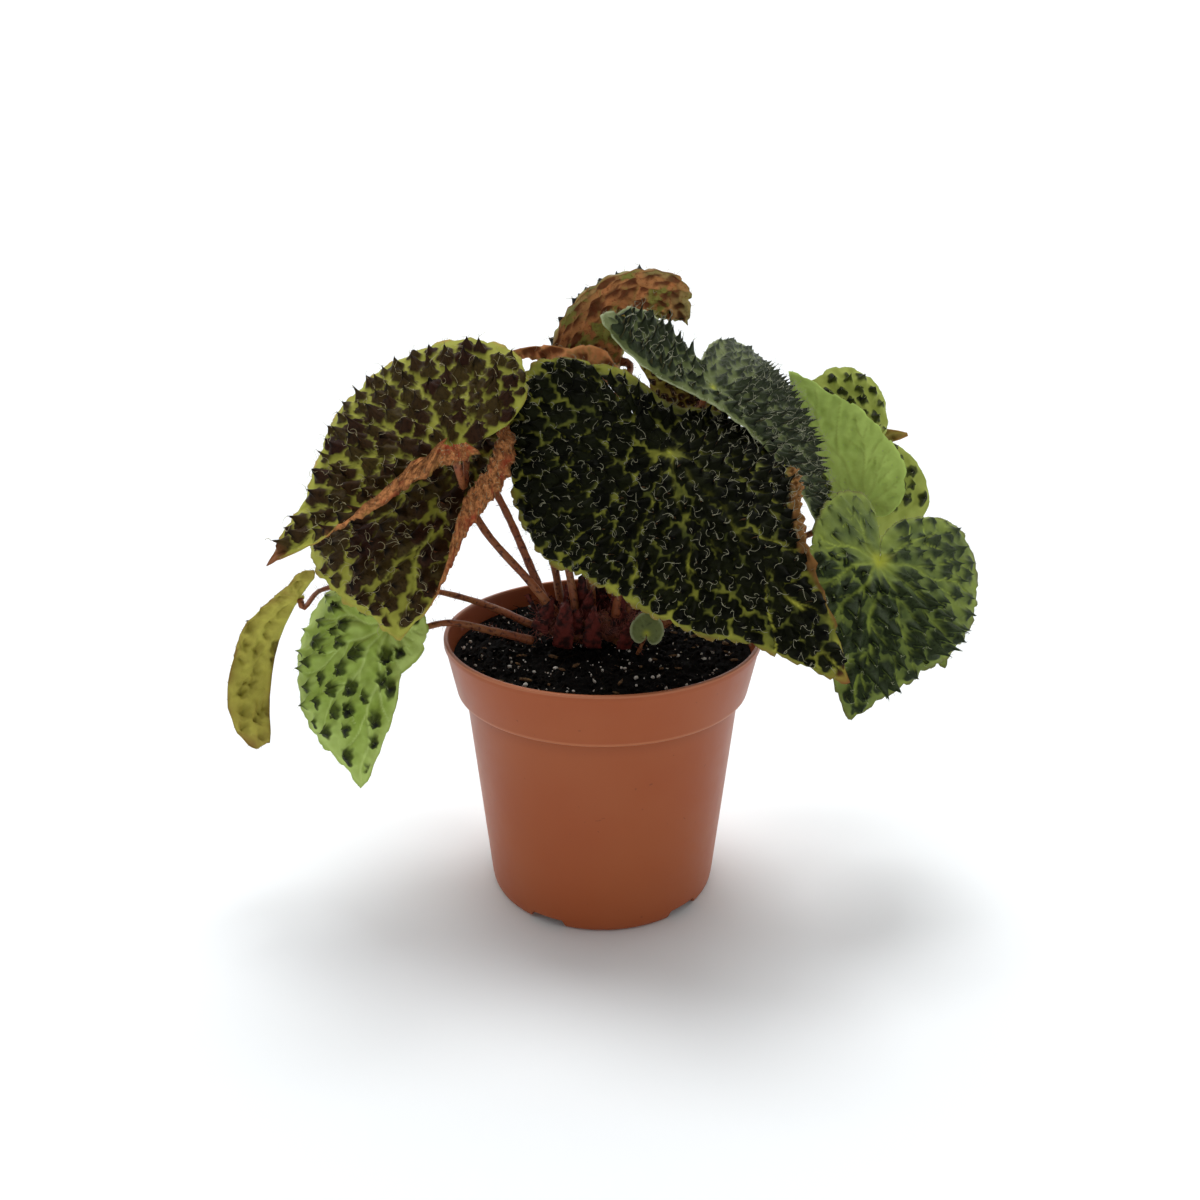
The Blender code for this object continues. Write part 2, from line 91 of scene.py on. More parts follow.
# Light. The sky is dim in front of the plant, bright behind it, and brightest all round at the horizon.
HORIZON = 1.65
SKY_AHEAD = 0.10
SKY_BEHIND = 1.40
SUN = 1.5
SUN_SPREAD = 26  # degrees, for soft shadows
SUN_TILT = -15  # degrees from straight down

# Camera
LENS = 33.07
SENSOR = 36
EYE = (-0.0009, -0.390, 0.260)  # metres
EYE_PITCH = -20.2  # degrees from level

# Each leaf: joint with its stalk, tip, the way its face looks, and how the blade is formed.
#   arch     degrees its midrib bends between joint and tip, bulging towards the face
#   back     degrees its basal lobes drop behind the joint
#   fold     lift of each half at once from the midrib, degrees: left base, left tip, right base, right tip
#   bend     lift gained on the way to each margin, degrees: left, right
#   widths   how wide each half is, left and right
#   edge     distance of the left or right margin at each of BEARINGS, as a share of the midrib's length,
#            where the half isn't shaped like HEART
#   sinus    bearing at which its margins end, where that isn't SINUS
#   roll     margin rolled up over the face: first and last bearing, width of the strip, radius of the roll
#   stalk    points its stalk passes on the way up
#   thick    thickness of the stalk at the foot and at the blade
#   below    how far under the blade the stalk turns square to it
#   clear    gap between the stalk's end and the middle of the blade
# The right margins of upper_left, front and top_right and the left one of front are drawn a little wider than
# those of the solids, so that the thin skins of neighbouring leaves touch.
LEAVES = {
    "upper_left": dict(
        joint=(-50, -24, 177), tip=(-111, -44, 145), face=(-0.30, -0.72, 0.62), arch=22, back=10,
        fold=(20, 20, 22, 0), bend=(0, -25), widths=(0.26, 0.95),
        right_edge=(1.0, 0.80, 0.70, 0.69, 0.70, 0.71, 0.71, 0.62, 0.40, 0.12), roll=(2, 150, 13, 3.6),
        stalk=(
            (-17, -3, 112), (-27, -1, 124), (-46, 3, 147), (-55, 16.5, 172), (-54, 17.5, 192), (-50, 2, 196),
        ),
        thick=(4.0, 2.8),
    ),
    "lower_left": dict(
        joint=(-49, 4, 178), tip=(-70, -40, 117), face=(-0.22, -0.78, 0.56), arch=25, back=10,
        fold=(0, 0, 0, -5), bend=(-10, -20), widths=(1.0, 1.0),
        left_edge=(1.0, 0.80, 0.61, 0.50, 0.42, 0.35, 0.27, 0.19, 0.14, 0.10),
        right_edge=(1.0, 0.95, 0.95, 0.93, 0.78, 0.50, 0.26, 0.14, 0.11, 0.10), roll=(2, 130, 17, 5.2),
        stalk=((-21, 4, 112), (-27, 6, 127), (-38, 10, 152)), thick=(4.4, 3.2),
    ),
    "young_left": dict(
        joint=(-78, -17, 113), tip=(-87, -39, 58), face=(-0.25, -0.85, 0.45), arch=25, back=10,
        fold=(0, -5, 0, -5), bend=(-40, -25), widths=(0.42, 1.1),
        right_edge=(1.0, 0.86, 0.78, 0.72, 0.63, 0.52, 0.43, 0.34, 0.20, 0.10),
        stalk=((-26, -5, 102), (-40, -6, 106), (-58, -7, 110)), thick=(4.2, 2.8),
    ),
    "far_left": dict(
        joint=(-112, -7, 120), tip=(-124, -21, 68), face=(-0.74, 0.66, 0.10), arch=88, back=-20,
        fold=(10, 0, 0, 0), bend=(10, -20), widths=(0.66, 1.0),
        left_edge=(1.0, 1.16, 0.74, 0.34, 0.24, 0.22, 0.28, 0.40, 0.38, 0.14),
        right_edge=(1.0, 0.12, 0.05, 0.04, 0.04, 0.04, 0.04, 0.04, 0.04, 0.04), below=5.4, clear=3.4,
        stalk=(
            (-27, 6, 104), (-44, 11, 110), (-65, 14, 115), (-88, 14, 117), (-102, 11.5, 118),
            (-107, 3.5, 119),
        ),
        thick=(3.8, 2.2),
    ),
    "front": dict(
        joint=(22, -30, 180), tip=(78, -70, 114), face=(-0.08, -0.74, 0.66), arch=45, back=-40,
        fold=(-17, -5, -12, -5), bend=(-56, -30), widths=(0.70, 1.0), sinus=179.95, clear=1.8,
        left_edge=(1.0, 0.74, 0.71, 0.69, 0.64, 0.60, 0.37, 0.42, 0.60, 0.66),
        right_edge=(1.0, 0.80, 0.66, 0.55, 0.52, 0.60, 0.61, 0.62, 0.60, 0.48), roll=(2, 64, 5, 3),
        stalk=((5, -5, 112), (8, -7, 135), (15, -13, 160)), thick=(4.6, 3.4),
    ),
    "top_right": dict(
        joint=(38, -9, 198), tip=(82, 1, 136), face=(0.40, -0.35, 0.84), arch=55, back=-30,
        fold=(12, 6, 0, 0), bend=(-24, -20), widths=(1.0, 1.0), sinus=179.95, below=5,
        left_edge=(1.0, 0.88, 0.80, 0.78, 0.64, 0.31, 0.16, 0.40, 0.50, 0.52),
        right_edge=(1.0, 0.66, 0.31, 0.18, 0.14, 0.15, 0.20, 0.39, 0.58, 0.54),
        stalk=((10, 3, 112), (14, 8, 140), (27, 10, 170), (34, 5, 184)), thick=(4.2, 3.0),
    ),
    "low_right": dict(
        joint=(99, -15, 137), tip=(86, -45, 89), face=(0.15, -0.75, 0.60), arch=30, back=20,
        fold=(5, -5, 18, 1), bend=(-25, -6), widths=(1.22, 0.80), sinus=179.95,
        left_edge=(1.0, 0.80, 0.62, 0.60, 0.61, 0.61, 0.58, 0.36, 0.22, 0.12),
        right_edge=(1.0, 0.90, 0.78, 0.66, 0.60, 0.58, 0.60, 0.58, 0.50, 0.12),
        stalk=((17, -4, 104), (32, -5, 115), (62, -4, 132)), thick=(4.2, 3.0),
    ),
    "under_right": dict(
        joint=(121, 8, 109), tip=(128, -12, 94), face=(0.3, -0.6, 0.7), arch=20, back=20,
        bend=(-20, -20), stalk=((18, 5, 103), (40, 9, 110), (80, 14, 117)), thick=(3.2, 2.2),
    ),
    "right_folded": dict(
        joint=(103, 28, 147), tip=(73, 46, 195), face=(0.30, 0.92, 0.10), arch=-10, back=20,
        bend=(10, 10), widths=(1.0, 0.35),
        left_edge=(1.0, 0.80, 0.60, 0.43, 0.34, 0.26, 0.20, 0.16, 0.13, 0.10),
        stalk=((13, 10, 104), (36, 14, 122), (78, 8, 140)), thick=(4.0, 2.8),
    ),
    "right_back": dict(
        joint=(110, 54, 167), tip=(76, 48, 166), face=(0.2, -0.85, 0.5), arch=20, back=-10,
        bend=(-20, 0),
        left_edge=(1.0, 0.90, 0.95, 1.15, 1.30, 1.32, 1.08, 0.60, 0.24, 0.10),
        right_edge=(1.0, 0.90, 0.94, 0.97, 0.88, 0.68, 0.38, 0.25, 0.18, 0.10),
        stalk=((5, 11, 104), (28, 26, 124), (78, 56, 142)), thick=(4.0, 2.8),
    ),
    "crown_curled": dict(
        joint=(6, 38, 200), tip=(32, 38, 214), face=(-0.54, 0.0, 0.84), arch=110, back=20,
        fold=(10, 10, 105, 80), bend=(-40, -50), widths=(0.8, 1.1),
        right_edge=(1.0, 0.93, 0.90, 0.86, 0.88, 0.70, 0.40, 0.28, 0.18, 0.10), below=3, clear=1.8,
        stalk=((-4, 3, 112), (-5, 10, 150), (3, 22, 185)), thick=(4.4, 3.2),
    ),
    "back_low": dict(
        joint=(-3, 14, 197), tip=(-37, 22, 204), face=(0.0, 0.2, 1.0), arch=30, back=10,
        fold=(95, 80, 10, 10), bend=(-30, -30), widths=(0.5, 0.35), below=3, clear=1.8,
        stalk=((-10, -1, 112), (-14, 4, 145), (-8, 11, 175)), thick=(4.0, 2.8),
    ),
    "crumpled": dict(
        joint=(39, 15, 184), tip=(12, 17, 206), face=(-0.1, -0.85, 0.35), arch=50, back=20,
        bend=(-30, -30), widths=(0.75, 0.6), below=3, clear=1.4,
        stalk=((9, -3, 112), (16, 4, 140), (34, 21, 172)), thick=(3.0, 2.0),
    ),
    "seedling": dict(
        joint=(16, -20, 111), tip=(17, -14, 119), face=(0, -0.9, 0.4), arch=10, back=0,
        bend=(0, 0), stalk=((13, -13, 100),), thick=(1.8, 1.4),
    ),
    "back_left": dict(
        joint=(-46, 40, 180), tip=(-92, 52, 138), face=(-0.45, 0.55, 0.70), arch=40, back=20,
        bend=(-30, -30), widths=(0.42, 0.80),
        stalk=((-15, 10, 104), (-20, 18, 130), (-36, 30, 164)), thick=(4.2, 3.0),
    ),
    "back": dict(
        joint=(8, 42, 168), tip=(4, 66, 110), face=(0.0, 0.75, 0.60), arch=40, back=2,
        bend=(-30, -30), stalk=((-5, 11, 104), (-3, 20, 130), (4, 28, 155)), thick=(4.4, 3.0),
    ),
    "back_right": dict(
        joint=(88, 67, 160), tip=(129, 66, 166), face=(0.1, 0.9, 0.35), arch=20, back=20,
        bend=(-20, -20), widths=(0.4, 0.4),
        stalk=((9, 17, 101), (28, 40, 120), (62, 62, 146)), thick=(3.4, 2.4),
    ),
}

# How each leaf looks, lengths in millimetres.
#   palette   which of PALETTES it is painted from
#   pitch     distance between its cones
#   height    how high they are
#   lean      how far each peak leans away from the joint, as a share of its height
#   long      how much the cones are stretched away from the joint, where that isn't 1.25
#   shade     painted shade: how far outwards their dark colour is moved, as a share of pitch, where that isn't 0.1
#   grain     size of the triangles of the skin
#   hair      length of the hairs on the cones
#   hairs     how many stand on each cone, where that isn't 2
#   fringe    length of the hairs along the margin, where that isn't 1
#   teeth     depth of the margin's teeth, where that isn't 0.7
#   bare      margin without cones: its width, first and last bearing
#   calm      stretches with lower cones: first and last bearing, and the share of their height they keep
#   veined    how far from the joint the veins begin to show, as a share of the midrib's length
#   heart     radius of the yellow-green spot over the joint, where that isn't 1.2
#   withered  where along the midrib the brown tip begins, as a share of its length
#   crumple   height of the creases of a withered leaf
LOOKS = {
    "upper_left": dict(
        palette="bronze", pitch=6.4, height=5.4, lean=0.45, hair=2.8, grain=0.70, withered=0.86, shade=0.14,
    ),
    "lower_left": dict(palette="bronze", pitch=7.0, height=5.4, lean=0.40, hair=3.8, hairs=3, grain=0.80),
    "young_left": dict(
        palette="fresh", pitch=8.2, height=4.4, lean=0.60, hair=1.0, grain=0.68, long=1.7, shade=0.26,
    ),
    "far_left": dict(palette="olive", pitch=6.5, height=3.6, lean=0.30, hair=1.2, grain=0.70),
    "front": dict(
        palette="dark", pitch=5.4, height=5.0, lean=0.35, hair=2.8, hairs=3, grain=0.66, withered=0.93,
        bare=(4.5, 45, 190), veined=0.32, teeth=1.2, heart=0.7,
    ),
    "top_right": dict(
        palette="slate", pitch=4.4, height=4.8, lean=0.50, hair=2.6, grain=0.64, bare=(3.5, -190, -6),
        calm=((56, 124, 0.35),),
    ),
    "low_right": dict(
        palette="sea", pitch=6.7, height=7.2, lean=0.70, hair=1.2, grain=0.68, shade=0.2, heart=2.8,
        calm=((-200, -66, 0.08), (58, 200, 0.3)), teeth=1.2,
    ),
    "under_right": dict(palette="sea", pitch=6.0, height=5.0, lean=0.30, hair=1.0, grain=0.75),
    "right_folded": dict(palette="lime", pitch=7.5, height=1.0, lean=0.30, hair=0.8, grain=0.75),
    "right_back": dict(
        palette="lime_face", pitch=6.2, height=3.8, lean=0.45, hair=0.8, grain=0.75, shade=0.2,
    ),
    "crown_curled": dict(
        palette="curled", pitch=4.6, height=4.0, lean=0.30, hair=2.6, grain=0.64, teeth=1.3, crumple=0.9,
        fringe=2.4,
    ),
    # Its underside is painted lighter than curled's, as painted light, because it lies in shade.
    "back_low": dict(palette="curled_painted_light", pitch=6.0, height=3.2, lean=0.20, hair=2.2, grain=0.68, crumple=0.7),
    "crumpled": dict(palette="striped", pitch=3.4, height=2.6, lean=0.20, hair=1.6, grain=0.58, crumple=0.6),
    "seedling": dict(
        palette="slate", pitch=3.0, height=0.8, lean=0.20, hair=0.6, grain=0.60, calm=((-200, 200, 0.05),),
    ),
    "back_left": dict(palette="bronze", pitch=6.8, height=4.8, lean=0.30, hair=2.5, grain=1.0),
    "back": dict(palette="dark", pitch=6.8, height=5.0, lean=0.30, hair=2.5, grain=1.0),
    "back_right": dict(palette="tip", pitch=6.0, height=2.0, lean=0.30, hair=0.8, grain=0.85),
}

# Palettes, sRGB.
#   field     upper side between the cones, and vein its veins
#   flank     side of a cone, and tip its peak
#   margin    thin line along the margin
#   dark      how high up a cone its dark colour begins
#   paler     how much paler the skin grows towards the margin, where that isn't 1
#   gloss     shine, where that isn't 0.12
#   veins     how clearly the veins show everywhere and not only in patches, where that isn't 0
#   under     underside, and pit the pit under each cone, whose colour is as strong as pitted
#   fringe    underside near the margin
#   grains    how strong the rust-brown grains on the underside are, where that isn't 0
#   patch     colour of broad patches on the underside
#   rolled    skin where the margin rolls up, or a withered one shows its back
#   hair      all hairs of the leaf
PALETTES = {
    "bronze": dict(
        field="8A8A34", vein="AEB04C", flank="30180E", tip="0C0603", margin="96923E", dark=0.07, gloss=0.08,
        under="9A623A", pit="3E1C0E", pitted=0.7, fringe="8C6E34", rolled="C4824E", hair="B0A680",
    ),
    "dark": dict(
        field="444A22", vein="B8B848", flank="0C0D06", tip="040403", margin="6E6430", dark=0.05,
        paler=0.35, gloss=0.04,
        under="7A5C34", pit="2E1A10", pitted=0.7, fringe="6E6430", rolled="8A6238", hair="94927A",
    ),
    "slate": dict(
        field="566038", vein="76804E", flank="2C3420", tip="0E1208", margin="A8B088", dark=0.12,
        paler=0.3, gloss=0.1,
        under="64603A", pit="2E2C16", pitted=0.7, fringe="6E6C40", rolled="7A6E44", hair="A2A288",
    ),
    "sea": dict(
        field="526034", vein="98A848", flank="2C3620", tip="080A04", margin="5A5430", dark=0.08,
        paler=0.5, gloss=0.08, veins=0.6,
        under="76883E", pit="3C4A20", pitted=0.6, fringe="76883E", rolled="76883E", hair="9CA080",
    ),
    "fresh": dict(
        field="8CA440", vein="BCD078", flank="3E4A14", tip="12150A", margin="8CA03E", dark=0.32, veins=1.0,
        under="8CA046", pit="5E6E28", pitted=0.6, fringe="8CA046", rolled="8CA046", hair="A2A878",
    ),
    "lime": dict(
        field="7C8E38", vein="98A850", flank="39400F", tip="15180A", margin="8A9C40", dark=0.34,
        under="BED870", pit="98B24C", pitted=0.2, fringe="BAD46C", rolled="80983C", hair="A2A878",
    ),
    "lime_face": dict(
        field="8E9A40", vein="AAB458", flank="333A0E", tip="101206", margin="8C9840", dark=0.24, veins=0.7,
        under="80983C", pit="56681E", pitted=0.6, fringe="7E963C", rolled="80983C", hair="A2A878",
    ),
    "olive": dict(
        field="A8A044", vein="B8B050", flank="4A4018", tip="181406", margin="8A6A34", dark=0.34,
        under="C0BA54", pit="908438", pitted=0.4, fringe="8A6A34", rolled="8A6A34", hair="9A9468",
    ),
    "curled": dict(
        field="5A5C30", vein="8C8444", flank="20200F", tip="0C0A06", margin="8A5A34", dark=0.12,
        under="C88450", pit="4A180C", pitted=0.75, fringe="8E9058", grains=0.7, patch="8A8840",
        rolled="9A5C34", hair="B0A488",
    ),
    # curled with its underside painted lighter, as painted light for back_low, which lies in shade
    "curled_painted_light": dict(
        field="5A5C30", vein="8C8444", flank="20200F", tip="0C0A06", margin="8A5A34", dark=0.12,
        under="F0A468", pit="5A200F", pitted=0.7, fringe="C88A54", rolled="B8703C", hair="B0A488",
    ),
    "striped": dict(
        field="8E7A34", vein="A89C44", flank="3E1C10", tip="120804", margin="8C4A2C", dark=0.16,
        under="8E5A34", pit="34120A", pitted=1.0, fringe="7A4024", grains=0.8, rolled="86502C",
        hair="A08A68",
    ),
    "tip": dict(
        field="8E8436", vein="A89C44", flank="5A4A20", tip="2A1E0C", margin="9A6E34", dark=0.4,
        under="8E8640", pit="6A5A2C", pitted=0.4, fringe="9A6E34", rolled="9A6E34", hair="A08A68",
    ),
}


def smooth_through(stations, values, x):
    """Reads a smooth curve that passes through the values at the stations."""
    stations = np.asarray(stations, float)
    values = np.asarray(values, float)
    slopes = np.gradient(values, stations)
    i = np.clip(np.searchsorted(stations, x, side="right") - 1, 0, len(stations) - 2)
    step = stations[i + 1] - stations[i]
    t = (x - stations[i]) / step
    rise = (t**3 - 2 * t**2 + t) * step * slopes[i] + (t**3 - t**2) * step * slopes[i + 1]
    return (2 * t**3 - 3 * t**2 + 1) * values[i] + (3 * t**2 - 2 * t**3) * values[i + 1] + rise


def unit(vector):
    """The vector, or each of many, brought to length 1."""
    vector = np.asarray(vector, float)
    return vector / np.linalg.norm(vector, axis=-1)[..., None]


def reach(leaf, bearing):
    """Distance of the margin from the joint, as a share of the midrib's length."""
    turn = np.abs(bearing)
    left_width, right_width = leaf.get("widths", (1, 1))
    left = smooth_through(BEARINGS, leaf.get("left_edge", HEART), turn)
    right = smooth_through(BEARINGS, leaf.get("right_edge", HEART), turn)
    wide = np.where(bearing >= 0, left_width, right_width)
    return np.where(bearing >= 0, left, right) * (1 + (wide - 1) * np.clip(turn / 28, 0, 1))


def axes_of(leaf):
    """Joint, the way ahead along the midrib, left, up from the face, and the midrib's length."""
    joint = np.array(leaf["joint"], float)
    along = np.array(leaf["tip"], float) - joint
    chord = np.linalg.norm(along)
    ahead = along / chord
    face = np.array(leaf["face"], float)
    up = unit(face - (face @ ahead) * ahead)
    bow = math.radians(leaf["arch"])
    return joint, ahead, np.cross(up, ahead), up, chord * (bow / 2) / math.sin(bow / 2)


def sheet(leaf, along, aside):
    """Point and normal of the blade before its margin rolls, at shares of the midrib's length."""
    joint, ahead, left, up, length = axes_of(leaf)
    bow = math.radians(leaf["arch"])
    back = math.radians(leaf["back"] + 0.01)
    front = np.clip(along, 0, None)
    rear = np.clip(-along, 0, None)
    turn = bow * (0.5 - front) + back * rear
    half = bow / 2
    arched = half - bow * front
    dropped = half + back * rear
    x = (math.sin(half) - np.sin(arched)) / bow - (np.sin(dropped) - math.sin(half)) / back
    z = (np.cos(arched) - math.cos(half)) / bow + (np.cos(dropped) - math.cos(half)) / back
    tangent = np.cos(turn)[..., None] * ahead + np.sin(turn)[..., None] * up
    normal = np.cos(turn)[..., None] * up - np.sin(turn)[..., None] * ahead
    spine = joint + length * (x[..., None] * ahead + z[..., None] * up)

    fold = leaf.get("fold", (0, 0, 0, 0))
    share = np.clip((along + 0.4) / 1.4, 0, 1)
    left_fold = fold[0] + (fold[1] - fold[0]) * share
    right_fold = fold[2] + (fold[3] - fold[2]) * share
    start = np.radians(np.where(aside >= 0, left_fold, right_fold))
    curl = np.radians(np.where(aside >= 0, leaf["bend"][0], leaf["bend"][1]) + 0.01) / 0.6
    side = np.where(aside >= 0, 1.0, -1.0)
    tilt = start + curl * np.abs(aside)
    out = (np.sin(tilt) - np.sin(start)) / curl
    lift = (np.cos(start) - np.cos(tilt)) / curl
    point = spine + length * ((side * out)[..., None] * left + lift[..., None] * normal)
    across = (side * np.cos(tilt))[..., None] * left + np.sin(tilt)[..., None] * normal
    return point, unit(np.cross(tangent, across) * side[..., None])


def polar(leaf, distance, bearing):
    """Point and normal at a distance and bearing from the joint, before the margin rolls."""
    angle = np.radians(bearing)
    return sheet(leaf, distance * np.cos(angle), distance * np.sin(angle))


def rolled_strip(leaf, bearing, edge):
    """Width of the strip rolled up at a bearing, where the margin is edge millimetres from the joint."""
    first, last, width, _ = leaf["roll"]
    window = np.clip((1 - np.abs((bearing - (first + last) / 2) / ((last - first) / 2))) * 3, 0, 1)
    return np.minimum(width * window * window * (3 - 2 * window), 0.8 * edge)


def blade(leaf, bearing, share):
    """Point and normal at a bearing from the midrib and a share of the way to the margin."""
    bearing, share = np.broadcast_arrays(np.asarray(bearing, float), np.asarray(share, float))
    edge = reach(leaf, bearing)
    if "roll" not in leaf:
        return polar(leaf, share * edge, bearing)
    radius = leaf["roll"][3]
    length = axes_of(leaf)[4]
    strip = rolled_strip(leaf, bearing, edge * length)
    over = np.clip(strip - (1 - share) * edge * length, 0, None)
    flat = np.minimum(share * edge, edge - strip / length)
    point, normal = polar(leaf, flat, bearing)
    before, _ = polar(leaf, flat - 0.02, bearing)
    out = unit(point - before)
    up = np.cross(out, np.cross(normal, out))
    angle = over / radius
    rolled = np.sin(angle)[..., None] * out + (1 - np.cos(angle))[..., None] * up
    return point + radius * rolled, np.cos(angle)[..., None] * up - np.sin(angle)[..., None] * out


def stalk_points(leaf, count):
    """The stalk's centre line, which meets the blade square on from below."""
    joint, normal = sheet(leaf, np.array(0.0), np.array(0.0))
    foot, top = leaf["thick"]
    below = leaf.get("below", 12 if axes_of(leaf)[4] > 30 else 4)
    clear = leaf.get("clear", BLADE_THICKNESS / 2 + GAP + 0.2)
    way = [*leaf["stalk"], joint - below * normal, joint - clear * normal]
    way = np.array(way, float)
    travelled = np.concatenate([[0], np.cumsum(np.linalg.norm(np.diff(way, axis=0), axis=1))])
    at = np.linspace(0, travelled[-1], count)
    points = np.stack([smooth_through(travelled, way[:, axis], at) for axis in range(3)], axis=-1)
    share = at / travelled[-1]
    radii = top / 2 + (foot - top) / 2 * (1 - share) ** 2
    return points, radii


# ---------------------------------------------------------------- materials

# Settings that several nodes share.
MULTIPLY = {"operation": "MULTIPLY", "use_clamp": True}
SMOOTH = {"interpolation_type": "SMOOTHSTEP"}
COLOURS = {"data_type": "RGBA"}

HEART_GREEN = "A8AC3C"
WITHERED = "7E4E2C"


def linear(colour):
    """sRGB hex to the linear values a shader takes."""
    parts = [int(colour[i : i + 2], 16) / 255 for i in (0, 2, 4)]
    return (*((c / 12.92 if c <= 0.04045 else ((c + 0.055) / 1.055) ** 2.4) for c in parts), 1.0)


def between(share, first, second):
    """The colour a share of the way from first to second."""
    return tuple((1 - share) * a + share * b for a, b in zip(first, second))


def add_node(tree, kind, settings=None, inputs=None, output=0):
    """Adds a node with its settings, sets or links its inputs, and gives back one of its outputs."""
    node = tree.nodes.new(f"ShaderNode{kind}")
    for key, value in (settings or {}).items():
        setattr(node, key, value)
    for key, value in (inputs or {}).items():
        if isinstance(value, bpy.types.NodeSocket):
            tree.links.new(value, node.inputs[key])
        else:
            node.inputs[key].default_value = value
    return node.outputs[output] if node.outputs else None


def new_material(name):
    """An empty material, and add_node for its tree."""
    made = bpy.data.materials.new(name)
    made.use_nodes = True
    made.node_tree.nodes.clear()
    return made, partial(add_node, made.node_tree)


def patches(add, size, start, end, detail=3.0, roughness=0.55, strength=1.0):
    """Cloudy patches about size millimetres across: 0 below start, rising to their strength at end."""
    place = add("TexCoord", output=3)
    cloud = {"Vector": place, "Scale": 1000 / size, "Detail": detail, "Roughness": roughness}
    shown = {"Value": add("TexNoise", None, cloud), "From Min": start, "From Max": end, "To Max": strength}
    return add("MapRange", SMOOTH, shown)


def coated(add, ground, *coats):
    """A ground with coats laid over it in turn, each a colour, a mask that shows where, and its strength."""
    for colour, mask, strength in coats:
        share = add("Math", MULTIPLY, {0: strength, 1: mask})
        ground = add("Mix", COLOURS, {0: share, 6: ground, 7: colour}, 2)
    return ground


def grained(add, size, depth, strength, detail, roughness=0.55):
    """A surface raised by grains about size millimetres across and depth millimetres high."""
    place = add("TexCoord", output=3)
    grain = {"Vector": place, "Scale": 1000 / size, "Detail": detail, "Roughness": roughness}
    height = add("TexNoise", None, grain)
    return add("Bump", None, {"Strength": strength, "Distance": depth * MM, "Height": height})


def finish_surface(add, colour, roughness, specular=0.5, normal=None):
    """Ends a material with its shader."""
    inputs = {"Base Color": colour, "Roughness": roughness, "Specular IOR Level": specular}
    if normal:
        inputs["Normal"] = normal
    shader = add("BsdfPrincipled", None, inputs)
    add("OutputMaterial", None, {"Surface": shader})


def leaf_face_material(name, paint):
    """Living leaf, upper side: dull satin skin, near-black on its cones and yellow-green in its veins."""
    field, vein, flank, tip, margin, rolled = (
        linear(paint[part]) for part in ("field", "vein", "flank", "tip", "margin", "rolled")
    )
    made, add = new_material(name)
    cone, veined, edge, tone, heart, rim, roll, withered = (
        add("Attribute", {"attribute_name": key}, output=2)
        for key in ("cone", "vein", "edge", "tone", "heart", "rim", "roll", "withered")
    )
    paler = add("Math", MULTIPLY, {0: paint.get("paler", 1.0), 1: edge})
    cloud = patches(add, 9.0, 0.3, 0.75, strength=0.6)
    light = add("Math", {"operation": "ADD", "use_clamp": True}, {0: paler, 1: cloud})
    skin = coated(add, field, (vein, light, 0.75))
    flecks = patches(add, 0.9, 0.45, 0.7, 4.0)
    side = coated(add, flank, (between(0.2, flank, field), tone, 0.6), (tip, flecks, 0.5))
    start = paint["dark"]
    # Where a cone's own dark colour lies, moved onto its far side as painted shade.
    rise = add("Math", {"operation": "MULTIPLY_ADD"}, {0: paler, 1: -0.22, 2: cone})
    on_cone = add("MapRange", SMOOTH, {"Value": rise, "From Min": start, "From Max": start + 0.2})
    between_cones = add("MapRange", SMOOTH, {"Value": cone, "From Min": 0.5, "From Max": 0.25})
    some = patches(add, 26.0, 0.40, 0.56, 2.0)
    shown = add("Math", {"operation": "MAXIMUM"}, {0: some, 1: paint.get("veins", 0.0)})
    seen = add("Math", MULTIPLY, {0: between_cones, 1: shown})
    peak = add("MapRange", SMOOTH, {"Value": cone, "From Min": 0.5, "From Max": 0.85})
    colour = coated(
        add, skin, (side, on_cone, 1.0), (vein, veined, seen), (tip, peak, 1.0),
        (linear(HEART_GREEN), heart, 0.9), (margin, rim, 0.8), (rolled, roll, 1.0),
        (linear(WITHERED), withered, 1.0),
    )
    pores = grained(add, size=0.5, depth=0.25, strength=0.6, detail=5.0, roughness=0.7)
    finish_surface(add, colour, 0.5, paint.get("gloss", 0.12), pores)
    return made


def leaf_back_material(name, paint):
    """Leaf's underside: matt and downy, a darker pit under every cone, orange-brown where it rolls up."""
    under, pit, fringe, rolled, vein = (
        linear(paint[part]) for part in ("under", "pit", "fringe", "rolled", "vein")
    )
    made, add = new_material(name)
    cone, veined, edge, roll, withered = (
        add("Attribute", {"attribute_name": key}, output=2)
        for key in ("cone", "vein", "edge", "roll", "withered")
    )
    near_edge = add("Math", MULTIPLY, {0: edge, 1: patches(add, 12.0, 0.3, 0.6)})
    hollow = add("MapRange", SMOOTH, {"Value": cone, "From Min": 0.22, "From Max": 0.5})
    unrolled = add("Math", {"operation": "SUBTRACT", "use_clamp": True}, {0: 1.0, 1: roll})
    pits = add("Math", MULTIPLY, {0: hollow, 1: unrolled})
    green = [(linear(paint["patch"]), patches(add, 11.0, 0.54, 0.62), 1.0)] if "patch" in paint else []
    grains = patches(add, 1.3, 0.52, 0.64, 5.0, 0.8)
    crumbs = (between(0.75, rolled, pit), patches(add, 1.7, 0.40, 0.62, 5.0, 0.75), 1.0)
    rust = (linear("A0452A"), patches(add, 7.0, 0.5, 0.7), 1.0)
    band = coated(add, rolled, crumbs, rust)
    colour = coated(
        add, under, (pit, patches(add, 6.0, 0.35, 0.75, 4.0), 0.4), (fringe, near_edge, 1.0),
        (vein, veined, 0.5), (pit, pits, paint["pitted"]), *green,
        (linear("6E3018"), grains, paint.get("grains", 0.0)),
        (band, roll, 1.0), (linear(WITHERED), withered, 1.0),
    )
    down = grained(add, size=0.6, depth=0.4, strength=0.7, detail=5.0, roughness=0.7)
    finish_surface(add, colour, 0.66, 0.15, down)
    return made


def hair_material(name, colour):
    """Soft plant hair: dull and pale, so that it reads as down and not as wire."""
    made, add = new_material(name)
    finish_surface(add, linear(colour), 0.6, 0.2)
    return made


